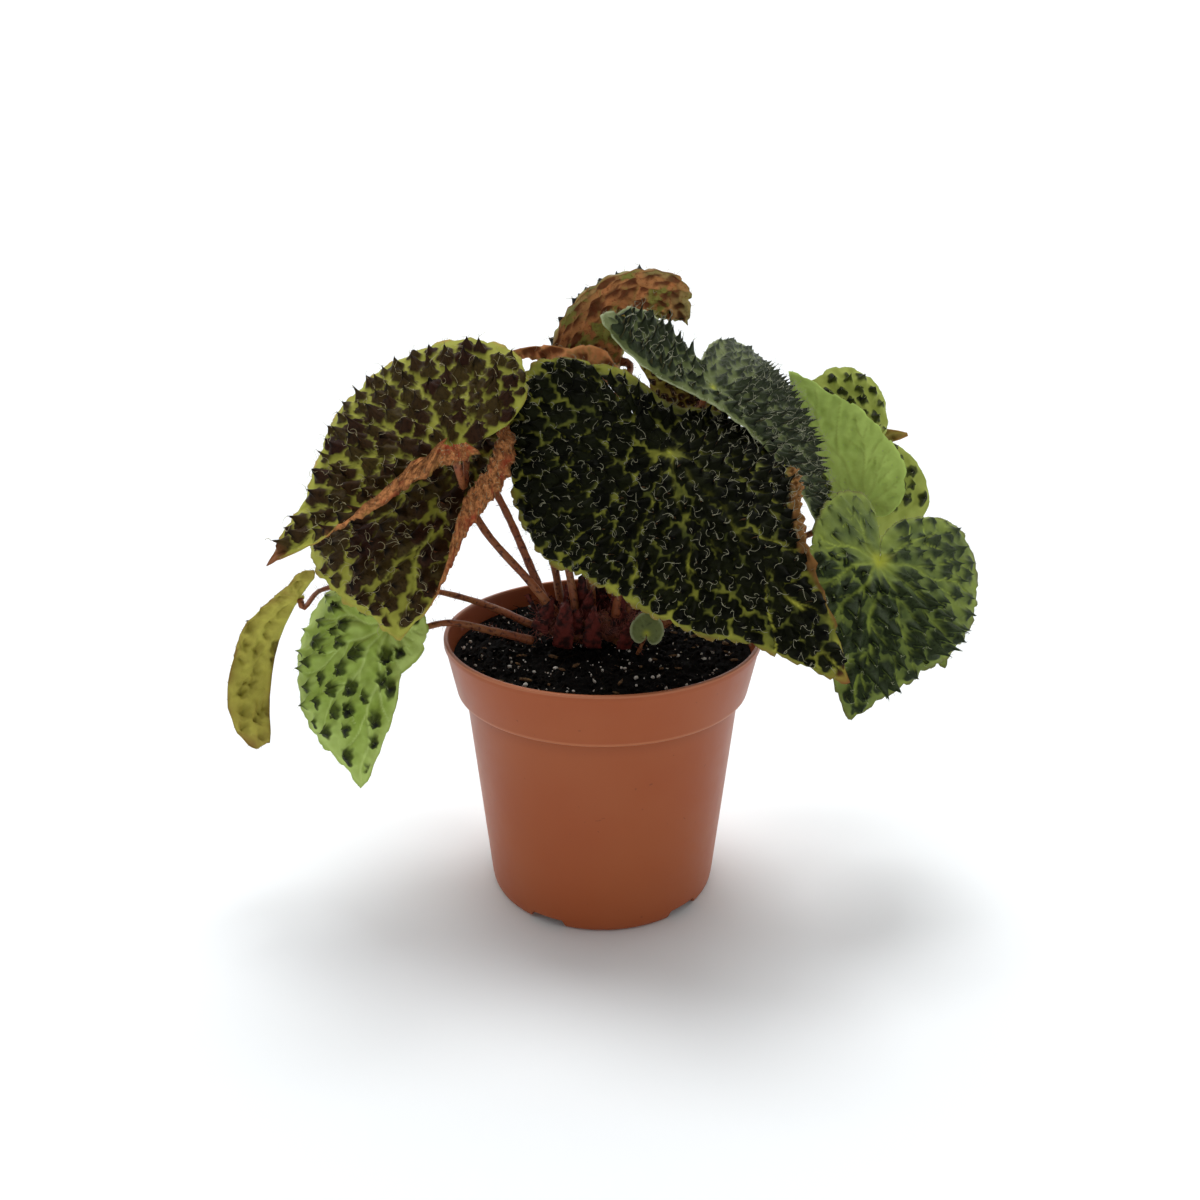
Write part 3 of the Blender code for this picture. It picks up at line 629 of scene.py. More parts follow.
def stem_material(name, base, dark):
    """Fleshy living stem: red-brown skin, slightly glossy, clouded with tan and flecked darker."""
    made, add = new_material(name)
    tan = (linear("94603A"), patches(add, 11.0, 0.35, 0.7), 1.0)
    flecks = (linear(dark), patches(add, 1.4, 0.5, 0.68), 1.0)
    ridges = grained(add, size=0.8, depth=0.3, strength=0.4, detail=4.0)
    finish_surface(add, coated(add, linear(base), tan, flecks), 0.45, 0.25, ridges)
    return made


def papery_material(name, base, dark):
    """Dry stipule: thin, deep red and streaked darker, with the rough sheen of paper."""
    made, add = new_material(name)
    streaks = (linear(dark), patches(add, 3.0, 0.4, 0.62, 5.0), 1.0)
    creases = grained(add, size=1.2, depth=0.5, strength=0.7, detail=5.0)
    finish_surface(add, coated(add, linear(base), streaks), 0.6, 0.2, creases)
    return made


def pot_material():
    """Moulded polypropylene in terracotta: an even satin, faintly clouded, with painted highlights and
    painted shade by its edges.
    """
    made, add = new_material("terracotta_plastic")
    place = add("TexCoord", output=3)
    height = add("SeparateXYZ", None, {"Vector": place}, 2)
    step = POT_HEIGHT - COLLAR_HEIGHT
    coats = [
        (linear("9E5832"), patches(add, 40.0, 0.35, 0.7, 2.0), 0.35),
        (linear("5A2C1C"), patches(add, 2.2, 0.72, 0.76, 2.0), 0.45),
    ]
    # Painted light by height: each band a colour, its strength, and the heights over which it fades in and
    # out.
    painted_light_bands = (
        # painted shade under the collar's lower edge
        ("6E3218", 0.35, (step - 7, step), (step + 0.4, step)),
        # painted highlight along the collar's lower edge
        ("B87A56", 0.4, (step, step + 0.3), (step + 1.5, step + 1.0)),
        # painted highlight along the rim
        ("B87A56", 0.4, (POT_HEIGHT - 1.0, POT_HEIGHT - 0.7), (POT_HEIGHT + 1.0, POT_HEIGHT + 0.5)),
    )
    for colour, strength, *ends in painted_light_bands:
        within = [
            add("MapRange", SMOOTH, {"Value": height, "From Min": start * MM, "From Max": end * MM})
            for start, end in ends
        ]
        coats.append((linear(colour), add("Math", MULTIPLY, dict(enumerate(within))), strength))
    cloud = {"Vector": place, "Scale": 1000 / 6.0, "Detail": 3.0, "Roughness": 0.55}
    sheen = {"Value": add("TexNoise", None, cloud), "To Min": 0.34, "To Max": 0.46}
    rough = add("MapRange", None, sheen)
    satin = grained(add, size=1.0, depth=0.1, strength=0.08, detail=2.0)
    finish_surface(add, coated(add, linear("984C26"), *coats), rough, 0.25, satin)
    return made


def soil_material(name, base, light, patch=1.2):
    """Damp peat and what lies in it: crumbly, near-black to tan, no shine."""
    made, add = new_material(name)
    crumbs = (linear(light), patches(add, patch, 0.42, 0.72, 5.0, 0.7), 1.0)
    grit = grained(add, size=0.5, depth=0.4, strength=0.8, detail=5.0, roughness=0.7)
    finish_surface(add, coated(add, linear(base), crumbs), 0.85, 0.1, grit)
    return made


def perlite_material():
    """Expanded perlite: chalky white grains with patches of grey painted shade for their hollows."""
    made, add = new_material("perlite")
    # grey painted shade standing for the grains' hollows
    hollow_shade = (linear("BDB6A8"), patches(add, 0.7, 0.35, 0.7, 4.0), 1.0)
    foam = grained(add, size=0.3, depth=0.2, strength=0.5, detail=4.0)
    finish_surface(add, coated(add, linear("E6E2DA"), hollow_shade), 0.7, normal=foam)
    return made


# ---------------------------------------------------------------- meshes


def build(name, points, triangles, materials, which=None, values=None, smooth=True):
    """One mesh object from arrays: points in millimetres, triangles, and values stored on the points.

    Where it has several materials, which gives each triangle's.
    """
    points = np.asarray(points, np.float32)
    triangles = np.asarray(triangles, np.int32)
    mesh = bpy.data.meshes.new(name)
    mesh.vertices.add(len(points))
    mesh.vertices.foreach_set("co", (points * MM).ravel())
    mesh.loops.add(triangles.size)
    mesh.loops.foreach_set("vertex_index", triangles.ravel())
    mesh.polygons.add(len(triangles))
    mesh.polygons.foreach_set("loop_start", np.arange(0, triangles.size, 3, dtype=np.int32))
    for material in materials:
        mesh.materials.append(material)
    if which is not None:
        mesh.polygons.foreach_set("material_index", np.asarray(which, np.int32))
    mesh.update(calc_edges=True)
    for key, value in (values or {}).items():
        mesh.attributes.new(key, "FLOAT", "POINT").data.foreach_set("value", np.asarray(value, np.float32))
    if smooth:
        mesh.shade_smooth()
    piece = bpy.data.objects.new(name, mesh)
    bpy.context.scene.collection.objects.link(piece)
    return piece


def declare(piece, slot, *nodes):
    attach(piece, "root")
    if nodes:
        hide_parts(*nodes)


def grid_faces(rows, columns, closed=False):
    """Triangles of a rows by columns sheet of points, closed round each row if asked."""
    index = np.arange(rows * columns).reshape(rows, columns)
    if closed:
        index = np.concatenate([index, index[:, :1]], axis=1)
    a, b, c, d = index[:-1, :-1], index[:-1, 1:], index[1:, 1:], index[1:, :-1]
    corners = np.stack([a, b, c, d], axis=-1).reshape(-1, 4)
    return np.concatenate([corners[:, [0, 1, 2]], corners[:, [0, 2, 3]]])


def tubes(paths, radii, sides):
    """Round closed tubes along many paths at once: paths (n, steps, 3), radii (n, steps)."""
    count, steps, _ = paths.shape
    along = unit(np.gradient(paths, axis=1))
    aside = np.where(np.abs(along[:, :1, 2:3]) < 0.8, np.array((0, 0, 1.0)), np.array((1.0, 0, 0)))
    first = unit(np.cross(along, np.broadcast_to(aside, along.shape)))
    second = np.cross(along, first)
    angle = np.arange(sides) * math.tau / sides
    ring = first[:, :, None] * np.cos(angle)[:, None] + second[:, :, None] * np.sin(angle)[:, None]
    points = paths[:, :, None] + ring * radii[:, :, None, None]
    wall = grid_faces(steps, sides, closed=True)
    fan = np.array([(0, i, i + 1) for i in range(1, sides - 1)])
    one = np.concatenate([wall, fan[:, ::-1], fan + (steps - 1) * sides])
    every = one[None] + (np.arange(count) * steps * sides)[:, None, None]
    return points.reshape(-1, 3), every.reshape(-1, 3)


def joined(parts):
    """Several (points, triangles) as one."""
    shift = np.cumsum([0] + [len(points) for points, _ in parts[:-1]])
    triangles = [faces + start for (_, faces), start in zip(parts, shift)]
    return np.concatenate([points for points, _ in parts]), np.concatenate(triangles)


def random_directions(rng, count):
    """Unit vectors, evenly spread over all directions."""
    return unit(rng.normal(size=(count, 3)))


def curls(rng, roots, ways, lengths, curl, steps=8):
    """Centre lines of hairs that wind as they rise."""
    t = np.linspace(0, 1, steps + 1)
    side = unit(np.cross(ways, random_directions(rng, len(roots))))
    other = np.cross(ways, side)
    phase = rng.uniform(0, math.tau, (len(roots), 1))
    turn = phase + math.tau * rng.uniform(0.25, 0.8, (len(roots), 1)) * t
    swing = curl * lengths[:, None] * np.sqrt(t)
    rise = lengths[:, None] * t * (1 - 0.3 * curl * t)
    return (
        roots[:, None]
        + ways[:, None] * rise[..., None]
        + side[:, None] * (swing * (np.cos(turn) - np.cos(phase)))[..., None]
        + other[:, None] * (swing * (np.sin(turn) - np.sin(phase)))[..., None]
    )


# ---------------------------------------------------------------- leaves

# Main veins: bearing from the midrib, how far towards the margin they run, and their width.
MAIN_VEINS = (
    (0, 0.97, 1.1), (27, 0.9, 0.9), (-27, 0.9, 0.9), (56, 0.88, 0.8), (-56, 0.88, 0.8),
    (92, 0.86, 0.7), (-92, 0.86, 0.7), (134, 0.8, 0.6), (-134, 0.8, 0.6),
)
# Side veins: how far along its main vein each leaves it, and to which side.
SIDE_VEINS = ((0.38, 1), (0.55, -1), (0.7, 1))
SIDE_VEIN_DEGREES = 34
TOOTH = 4.1  # distance between the small teeth of a margin
PEAK_RADIUS = 0.5  # each cone's peak is a ring of points this far out


def vein_lines(leaf, length):
    """Main and side veins as straight runs in the flat blade: start, end, width."""
    lines = []
    for bearing, share, width in MAIN_VEINS:
        far = float(reach(leaf, np.array(float(bearing)))) * length * share
        angle = math.radians(bearing)
        way = np.array((math.cos(angle), math.sin(angle)))
        lines.append((np.zeros(2), way * far, width))
        for fork, side in SIDE_VEINS:
            turn = angle + side * math.radians(SIDE_VEIN_DEGREES)
            branch = way * far * fork
            run = far * (0.95 - fork) * 0.75
            lines.append((branch, branch + run * np.array((math.cos(turn), math.sin(turn))), width * 0.6))
    return lines


def vein_closeness(lines, flat, spread=1.0):
    """1 on a vein, falling to 0 at its side."""
    best = np.zeros(len(flat))
    for start, end, width in lines:
        run = end - start
        share = np.clip((flat - start) @ run / max(run @ run, 1e-9), 0, 1)
        away = np.linalg.norm(flat - start - share[:, None] * run, axis=1)
        best = np.maximum(best, np.clip(1 - away / (width * spread * (1 - 0.4 * share)), 0, 1))
    return best


def lattice(low, high, pitch):
    """Points of a triangular lattice over a rectangle."""
    rows = np.arange(low[1], high[1], pitch * math.sqrt(0.75))
    columns = np.arange(low[0], high[0], pitch)
    x, y = np.meshgrid(columns, rows)
    x = x + (np.arange(len(rows)) % 2)[:, None] * pitch / 2
    return np.stack([x.ravel(), y.ravel()], axis=1)


def inside(leaf, flat, length, clearance, sinus):
    """Which points of the flat blade lie inside its margin by a clearance."""
    bearing = np.degrees(np.arctan2(flat[:, 1], flat[:, 0]))
    far = np.linalg.norm(flat, axis=1)
    room = reach(leaf, bearing) * length - far
    notch = far * np.sin(np.radians(np.clip(sinus - np.abs(bearing), -90, 90)))
    clear_of_notch = (np.abs(bearing) <= 90) | (notch > clearance * 0.7)
    return (room > clearance) & clear_of_notch


def cone_centres(rng, leaf, length, pitch, lines, sinus):
    """Where the cones stand: spread evenly, but off the veins and the margin."""
    low, high = np.array((-0.75, -0.85)) * length, np.array((1.0, 0.85)) * length
    centres = lattice(low, high, pitch) + rng.uniform(-0.16, 0.16, (1, 2)) * pitch
    centres = centres + rng.uniform(-0.2, 0.2, centres.shape) * pitch
    for start, end, width in 2 * lines:
        if width < 0.65:
            continue
        run = end - start
        share = np.clip((centres - start) @ run / (run @ run), 0, 1)
        away = centres - start - share[:, None] * run
        gap = np.linalg.norm(away, axis=1)
        push = np.clip(0.36 * pitch - gap, 0, None) / np.maximum(gap, 0.2)
        centres = centres + away * push[:, None]
    return centres[inside(leaf, centres, length, 0.28 * pitch, sinus)]


def outline(rng, leaf, length, grain, depth, sinus):
    """Margin of the flat blade with its small wavy teeth, closed through the joint."""
    count = int(3.2 * length / grain)
    bearing = np.linspace(-sinus, sinus, count)
    edge = reach(leaf, bearing) * length
    steps = np.hypot(np.diff(edge), np.radians(np.diff(bearing)) * edge[1:])
    wave = np.cumsum(np.concatenate([[0], steps]))
    teeth = depth * np.abs(np.sin(wave * math.pi / TOOTH + rng.uniform(0, 3))) ** 0.7
    lobes = sum(np.sin(wave * math.tau / size + rng.uniform(0, 6)) for size in (23, 9.7))
    near_notch = np.clip((sinus - np.abs(bearing)) / 12, 0, 1)
    edge = edge + (teeth + 0.6 * lobes * min(1.0, length / 50)) * near_notch - 0.25 * depth / 0.7
    angle = np.radians(bearing)
    rim = np.stack([edge * np.cos(angle), edge * np.sin(angle)], axis=1)
    keep = [0]
    for i in range(1, count):
        if np.linalg.norm(rim[i] - rim[keep[-1]]) > grain * 0.8:
            keep.append(i)
    rim = rim[keep]
    last, first = (
        end * np.linspace(0, 1, max(3, int(np.linalg.norm(end) / grain)))[1:-1, None] for end in rim[[-1, 0]]
    )
    return np.concatenate([rim, last[::-1], np.zeros((1, 2)), first])


def enclosed(spots, loop):
    """Which spots lie inside a closed outline."""
    ahead = np.roll(loop, -1, axis=0)
    level = spots[:, 1:]
    crossed = (loop[:, 1] > level) != (ahead[:, 1] > level)
    rise = np.where(ahead[:, 1] == loop[:, 1], 1.0, ahead[:, 1] - loop[:, 1])
    place = loop[:, 0] + (level - loop[:, 1]) * (ahead[:, 0] - loop[:, 0]) / rise
    return np.sum(crossed & (spots[:, :1] < place), axis=1) % 2 == 1


def flat_blade(leaf, length, rim, centres, grain, sinus):
    """Points and triangles of the blade laid flat: its margin, the cones' peaks and an even field."""
    around = np.arange(6) * math.pi / 3
    ring = PEAK_RADIUS * np.stack([np.cos(around), np.sin(around)], axis=1)
    peaks = np.concatenate([centres[:, None], centres[:, None] + ring[None]], axis=1).reshape(-1, 2)
    field = lattice(np.array((-0.8, -0.95)) * length, np.array((1.02, 0.95)) * length, grain)
    field = field[inside(leaf, field, length, 0.6 * grain, sinus)]
    near = np.min(np.linalg.norm(field[:, None] - centres[None], axis=2), axis=1)
    field = field[near > PEAK_RADIUS + 0.35 * grain]
    spots = [Vector(spot) for spot in np.concatenate([rim, peaks, field])]
    made = delaunay_2d_cdt(spots, [], [list(range(len(rim)))], 1, 1e-5, False)
    flat = np.array([(spot.x, spot.y) for spot in made[0]])
    faces = np.array([face for face in made[2] if len(face) == 3])
    return flat, faces[enclosed(flat[faces].mean(axis=1), rim)]


def rolled_share(leaf, bearing, share):
    """How far round the rolled margin a point is, in radians: 0 on the open blade."""
    if "roll" not in leaf:
        return np.zeros(len(bearing))
    edge = reach(leaf, bearing) * axes_of(leaf)[4]
    strip = rolled_strip(leaf, bearing, edge)
    return np.clip(strip - (1 - share) * edge, 0, None) / leaf["roll"][3]


def wavy(flat):
    """The flat blade rippled a little, so that cones come out uneven."""
    x, y = flat[:, 0], flat[:, 1]
    forwards = np.sin(y * 1.7 + 1) + np.sin(x * 0.8 + 2)
    sideways = np.sin(x * 1.9) + np.sin(y * 0.7 + 3)
    return flat + 0.42 * np.stack([forwards, sideways], axis=1)


def nearest_cones(flat, centres, sizes, pitch, long, shade):
    """The cone each point of the flat blade belongs to, its rise to the peak, and the rise of its dark side.

    Cones are stretched away from the joint by long; shade of the pitch moves their own dark colour out as
    painted shade.
    """
    outward = unit(centres + 1e-6)
    offset = wavy(flat)[:, None] - wavy(centres)[None]
    along = np.sum(offset * outward, axis=2)
    across = offset[..., 0] * outward[:, 1] - offset[..., 1] * outward[:, 0]
    away = np.hypot(along / long, across) / sizes
    order = np.argpartition(away, 1, axis=1)[:, :2]
    two = np.take_along_axis(away, order, axis=1)
    swap = two[:, 0] > two[:, 1]
    order[swap] = order[swap][:, ::-1]
    two.sort(axis=1)
    owner = order[:, :1]
    spread = np.clip(two[:, 1], 0.7 * pitch, 1.25 * pitch)
    rise = np.clip(1 - 2 * two[:, 0] / (two[:, 0] + spread), 0, 1)
    forward = np.take_along_axis(along, owner, axis=1)[:, 0] - shade * pitch
    sideways = np.take_along_axis(across, owner, axis=1)[:, 0]
    dark = np.hypot(forward / long, sideways) / sizes[owner[:, 0]]
    dark_and_shade = np.clip(1 - 2 * dark / (dark + spread), 0, 1)
    return owner[:, 0], np.where(two[:, 0] < 0.01, 1, rise), dark_and_shade


def cone_share(looks, bearing, margin):
    """How far the cones are let up: less on a leaf's bare margin and its calm stretches, else 1."""
    bare, first, last = looks.get("bare", (0, 0, 0))
    strip = bare * np.clip((bearing - first) / 8, 0, 1) * np.clip((last - bearing) / 8, 0, 1)
    past_strip = np.clip((margin - strip) / (0.5 * looks["pitch"]), 0, 1) ** 1.5
    share = np.where(strip > 0, past_strip, 1)
    for first, last, left in looks.get("calm", ()):
        within = np.clip((bearing - first) / 14, 0, 1) * np.clip((last - bearing) / 14, 0, 1)
        share = share * (1 - (1 - left) * within)
    return share


def crumpling(flat, far, roll, amount, seed):
    """Height of the creases: fine ones on a rolled margin, and broad ones over a withered leaf."""
    x, y = flat[:, 0], flat[:, 1]
    fine = np.sin(x * 2.3 + seed) * np.sin(y * 2.9 + 1) + np.sin(x * 0.9 - y * 1.2)
    fine = (fine + 0.6 * np.sin(x * 4.1 + y * 3.2)) * 0.6 * np.clip(roll, 0, 1)
    broad = np.sin(x * 0.8 + seed) * np.sin(y * 1.1 + 1) + 0.5 * np.sin(x * 2.0 - y * 1.6)
    return fine + amount * broad * np.clip(far / 6, 0, 1)


def closed_skin(faces, top, normal):
    """Triangles of a skin with two sides and a wall round it, which of them are underside, and its border."""
    count = len(top)
    loop = np.concatenate([faces[:, [0, 1]], faces[:, [1, 2]], faces[:, [2, 0]]])
    edges = np.sort(loop, axis=1)
    _, where, times_seen = np.unique(edges[:, 0] * count + edges[:, 1], return_index=True, return_counts=True)
    border = loop[where[times_seen == 1]]
    start, end = border.T
    wall = np.concatenate(
        [np.stack([end, start, start + count], axis=1), np.stack([end, start + count, end + count], axis=1)]
    )
    a, b, c = (top[faces[:, i]] for i in range(3))
    if np.sum(np.cross(b - a, c - a) * normal[faces[:, 0]]) < 0:
        faces = faces[:, ::-1]
        wall = wall[:, ::-1]
    triangles = np.concatenate([faces, faces[:, ::-1] + count, wall])
    underside = np.concatenate([np.zeros(len(faces)), np.ones(len(faces)), np.zeros(len(wall))])
    return triangles, underside, border


def make_leaf(name, leaf, looks, seed):
    """A thin closed skin raised into cones on one side and hollow under them on the other."""
    rng = np.random.default_rng(seed)
    length = axes_of(leaf)[4]
    grain = looks["grain"] * 1.0
    pitch = looks["pitch"]
    sinus = leaf.get("sinus", SINUS)
    lines = vein_lines(leaf, length)
    centres = cone_centres(rng, leaf, length, pitch, lines, sinus)
    rim = outline(rng, leaf, length, grain, looks.get("teeth", 0.7), sinus)
    flat, faces = flat_blade(leaf, length, rim, centres, grain, sinus)

    sizes = rng.uniform(0.8, 1.25, len(centres))
    # shade moves each cone's own dark colour onto its far side, as painted shade.
    long, shade = looks.get("long", 1.25), looks.get("shade", 0.1)
    owner, rise, dark_and_shade = nearest_cones(flat, centres, sizes, pitch, long, shade)
    bearing = np.degrees(np.arctan2(flat[:, 1], flat[:, 0]))
    far = np.linalg.norm(flat, axis=1)
    edge = reach(leaf, bearing) * length
    margin = np.clip(edge - far, 0, None)
    winding = np.stack([np.sin(flat[:, 1] * 0.31 + seed), np.sin(flat[:, 0] * 0.27 - seed)], axis=1)
    bent = flat + 1.3 * winding * np.clip(far / 12, 0, 1)[:, None]
    vein = vein_closeness(lines, bent)
    valley = vein_closeness(lines, bent, 2.2)
    roll = rolled_share(leaf, bearing, far / np.maximum(edge, 1e-6))

    raised = cone_share(looks, bearing, margin)
    tall = looks["height"] * rng.uniform(0.7, 1.25, len(centres))
    height = tall[owner] * (0.25 * rise + 0.75 * rise**2.1)
    height = height * np.clip(margin / (0.7 * pitch), 0.15, 1) * (1 - 0.7 * valley) * np.clip(far / 4, 0, 1)
    height = height * np.clip(1 - roll * 1.5, 0.06, 1) * raised
    lean = looks["lean"] * tall[owner] * rise**2 * np.clip(1 - roll * 2, 0, 1) * np.clip(margin / pitch, 0, 1)
    moved = flat + unit(centres[owner] + 1e-6) * lean[:, None]
    spot = np.degrees(np.arctan2(moved[:, 1], moved[:, 0]))
    share = np.linalg.norm(moved, axis=1) / np.maximum(reach(leaf, spot) * length, 1e-6)
    point, normal = blade(leaf, np.where(far > 0.01, spot, 0.0), np.minimum(share, 1.02))
    sag = 0.35 * vein + 0.25 * np.sin(flat[:, 0] * 0.9) * np.sin(flat[:, 1] * 0.8 + 1)
    crumple = crumpling(flat, far, roll, looks.get("crumple", 0), seed)
    top = point + normal * (height - sag + crumple)[:, None]
    low = point + normal * (0.88 * height - sag + crumple - SKIN)[:, None]

    triangles, underside, border = closed_skin(faces, top, normal)
    values = {
        "cone": dark_and_shade * np.clip(margin / (0.4 * pitch), 0.3, 1) * raised**0.4,
        "vein": vein * np.clip((far / length - looks.get("veined", 0)) * 6, 0.12, 1),
        "rim": np.clip(1 - margin / 0.9, 0, 1),
        "edge": np.exp(-margin / 5),
        "roll": np.clip(roll / 0.9, 0, 1),
        "heart": np.exp(-((far / looks.get("heart", 1.2)) ** 2)),
        "tone": rng.uniform(0, 1, len(centres))[owner],
        "withered": np.clip((flat[:, 0] / length - looks.get("withered", 2)) * 12, 0, 1),
    }
    both_sides = {key: np.tile(value, 2) for key, value in values.items()}
    skins = [FACES[looks["palette"]], BACKS[looks["palette"]]]
    piece = build(f"leaf_{name}", np.concatenate([top, low]), triangles, skins, underside, both_sides)
    declare(piece, SLOTS[name], f"leaf_{name}")

    apex = np.array([np.argmin(np.linalg.norm(flat - centre, axis=1)) for centre in centres], int)
    apex = apex[(roll[apex] < 0.3) & (raised[apex] > 0.5)]
    rim_points = np.unique(border)[::2]
    back_of_roll = np.flatnonzero(roll > 0.9)[::9]
    return dict(
        tips=top[apex], ways=unit(normal[apex] + 0.35 * random_directions(rng, len(apex))),
        rim=point[rim_points], rim_ways=normal[rim_points],
        rolled=low[back_of_roll], rolled_ways=-normal[back_of_roll],
    )


def make_hairs(name, looks, found, seed):
    """Curly hairs on the cones, and short ones along the margin and on the back of a rolled one."""
    rng = np.random.default_rng(seed)
    parts = []
    for _ in range(looks.get("hairs", 2)):
        ways = unit(found["ways"] + 0.8 * random_directions(rng, len(found["tips"])))
        lengths = looks["hair"] * rng.uniform(0.5, 1.3, len(ways))
        roots = found["tips"] - found["ways"] * rng.uniform(0.3, 1.6, (len(ways), 1))
        lines = curls(rng, roots, ways, lengths, 0.32)
        taper = np.linspace(1, 0.5, lines.shape[1])[None]
        parts.append(tubes(lines, 0.085 * taper * rng.uniform(0.7, 1.3, (len(ways), 1)), 3))
    for place, size in (("rim", looks.get("fringe", 1.0)), ("rolled", 1.8)):
        roots = found[place]
        if len(roots):
            ways = unit(found[f"{place}_ways"] + 0.9 * random_directions(rng, len(roots)))
            lines = curls(rng, roots, ways, size * rng.uniform(0.5, 1.3, len(roots)), 0.15, 3)
            taper = np.linspace(1, 0.5, lines.shape[1])[None]
            parts.append(tubes(lines, (0.05 + 0.02 * size) * taper * np.ones((len(roots), 1)), 3))
    points, triangles = joined(parts)
    piece = build(f"hairs_{name}", points, triangles, [HAIRS[looks["palette"]]])
    declare(piece, SLOTS[name])


def make_stalk(name, leaf, material, hair, seed):
    """A leaf's stalk, a little uneven and flared where it meets the blade, with short soft hairs."""
    rng = np.random.default_rng(seed)
    count = 40 if axes_of(leaf)[4] > 15 else 14
    points, radii = stalk_points(leaf, count)
    joint, normal = sheet(leaf, np.array(0.0), np.array(0.0))
    near_blade = np.clip(np.linspace(0, 1, count) * 6 - 5, 0, 1)[:, None]
    points = points + (joint - 1.0 * normal - points[-1]) * near_blade
    uneven = 1 + 0.05 * np.sin(np.arange(count) * 1.7 + seed)
    radii = 0.82 * radii * uneven * (1 + 0.35 * near_blade[:, 0] ** 3)
    mesh, triangles = tubes(points[None], radii[None], 12)
    declare(build(f"petiole_{name}", mesh, triangles, [material]), "stem", f"petiole_{name}")

    number = int(7 * count * radii.mean() / 2)
    at = rng.integers(0, count - 1, number)
    way = random_directions(rng, number)
    along = unit(np.gradient(points, axis=0))[at]
    way = unit(way - np.sum(way * along, axis=1)[:, None] * along)
    between_points = (points[at + 1] - points[at]) * rng.uniform(0, 1, (number, 1))
    roots = points[at] + between_points + way * radii[at][:, None] * 0.9
    lines = curls(rng, roots, unit(way + 0.3 * along), rng.uniform(0.8, 2.0, number), 0.12, 3)
    mesh, triangles = tubes(lines, 0.06 * np.ones((number, 4)), 3)
    declare(build(f"hairs_petiole_{name}", mesh, triangles, [hair]), "stem")


# ---------------------------------------------------------------- pot and soil


def inner_wall(gap=0.0):
    """Inside of the pot from its floor up to the lip, as radius and height, or a gap inside that."""
    step = POT_HEIGHT - COLLAR_HEIGHT
    return [
        (BASE_RADIUS - WALL - 2.2 - gap, FLOOR_UNDERSIDE + FLOOR_THICKNESS + gap),
        (BASE_RADIUS - WALL - gap, FLOOR_UNDERSIDE + FLOOR_THICKNESS + 2.4 + gap),
        (BODY_TOP_RADIUS - WALL - gap, step - 1.2 + gap),
        (COLLAR_FOOT_RADIUS - WALL - gap, step + 1.4 + gap),
        (RIM_RADIUS - WALL - 0.5 - gap, POT_HEIGHT - 2.2),
    ]


def cutter(name, shape, angle):
    """An object made of a shape and turned about the pot's axis, to be cut out of the pot."""
    bmesh.ops.recalc_face_normals(shape, faces=shape.faces)
    mesh = bpy.data.meshes.new(name)
    shape.to_mesh(mesh)
    shape.free()
    made = bpy.data.objects.new(name, mesh)
    bpy.context.scene.collection.objects.link(made)
    made.rotation_euler.z = angle
    return made


def pot_profile():
    """Half section of the pot, as radius and height: down its outside, along its floor and up its inside."""
    step = POT_HEIGHT - COLLAR_HEIGHT
    lip = [
        (RIM_RADIUS - WALL - 0.3, POT_HEIGHT - 0.5), (RIM_RADIUS - WALL - 0.1, POT_HEIGHT - 0.12),
        (RIM_RADIUS - WALL + 0.2, POT_HEIGHT), (RIM_RADIUS - 0.5, POT_HEIGHT),
        (RIM_RADIUS - 0.12, POT_HEIGHT - 0.15), (RIM_RADIUS, POT_HEIGHT - 0.5),
        (RIM_RADIUS, POT_HEIGHT - 2.2), (RIM_RADIUS - 0.12, POT_HEIGHT - 2.55),
        (RIM_RADIUS - 0.5, POT_HEIGHT - 2.7),
    ]
    collar_foot = [
        (COLLAR_FOOT_RADIUS + 0.12, step + 0.9), (COLLAR_FOOT_RADIUS - 0.06, step + 0.35),
        (COLLAR_FOOT_RADIUS - 0.45, step),
    ]
    body = [
        (BODY_TOP_RADIUS + 0.6, step - 0.4), (BODY_TOP_RADIUS + 0.12, step - 0.8),
        (BODY_TOP_RADIUS - 0.03, step - 1.6),
        (BASE_RADIUS + 0.4, 5.2), (BASE_RADIUS + 0.15, 3.2), (BASE_RADIUS - 0.1, 1.7),
        (BASE_RADIUS - 0.5, 0.7), (BASE_RADIUS - 1.2, 0.12), (BASE_RADIUS - 1.6, 0),
    ]
    foot_and_floor = [
        (FOOT_INNER_RADIUS + 0.3, 0), (FOOT_INNER_RADIUS, 0.4),
        (FOOT_INNER_RADIUS, FLOOR_UNDERSIDE - 0.6), (FOOT_INNER_RADIUS - 0.8, FLOOR_UNDERSIDE),
        (0, FLOOR_UNDERSIDE), (0, FLOOR_UNDERSIDE + FLOOR_THICKNESS),
    ]
    return lip + collar_foot + body + foot_and_floor + inner_wall()


def notch_and_drain(number):
    """What one drain notch takes out of the foot, and one drain hole out of the floor."""
    turn = math.radians(NOTCH_CENTRE + number * 360 / FEET)
    half = BASE_RADIUS * math.tan(math.radians(NOTCH_DEGREES / 2))
    block = bmesh.new()
    bmesh.ops.create_cube(block, size=1.0)
    for corner in block.verts:
        top = corner.co.z > 0
        corner.co.x *= 2 * (half - 1.2 if top else half + 1.0)
        corner.co.y = -(FOOT_INNER_RADIUS - 5 if corner.co.y > 0 else BASE_RADIUS + 5)
        corner.co.z = NOTCH_HEIGHT if top else -1.0
        corner.co *= MM
    notch = cutter(f"notch_{number}", block, turn)
    rod = bmesh.new()
    radius = DRAIN_RADIUS * MM
    bmesh.ops.create_cone(rod, cap_ends=True, segments=24, radius1=radius, radius2=radius, depth=8 * MM)
    for corner in rod.verts:
        corner.co.y -= DRAIN_CIRCLE * MM
        corner.co.z += (FLOOR_UNDERSIDE + 1) * MM
    return notch, cutter(f"drain_{number}", rod, turn)


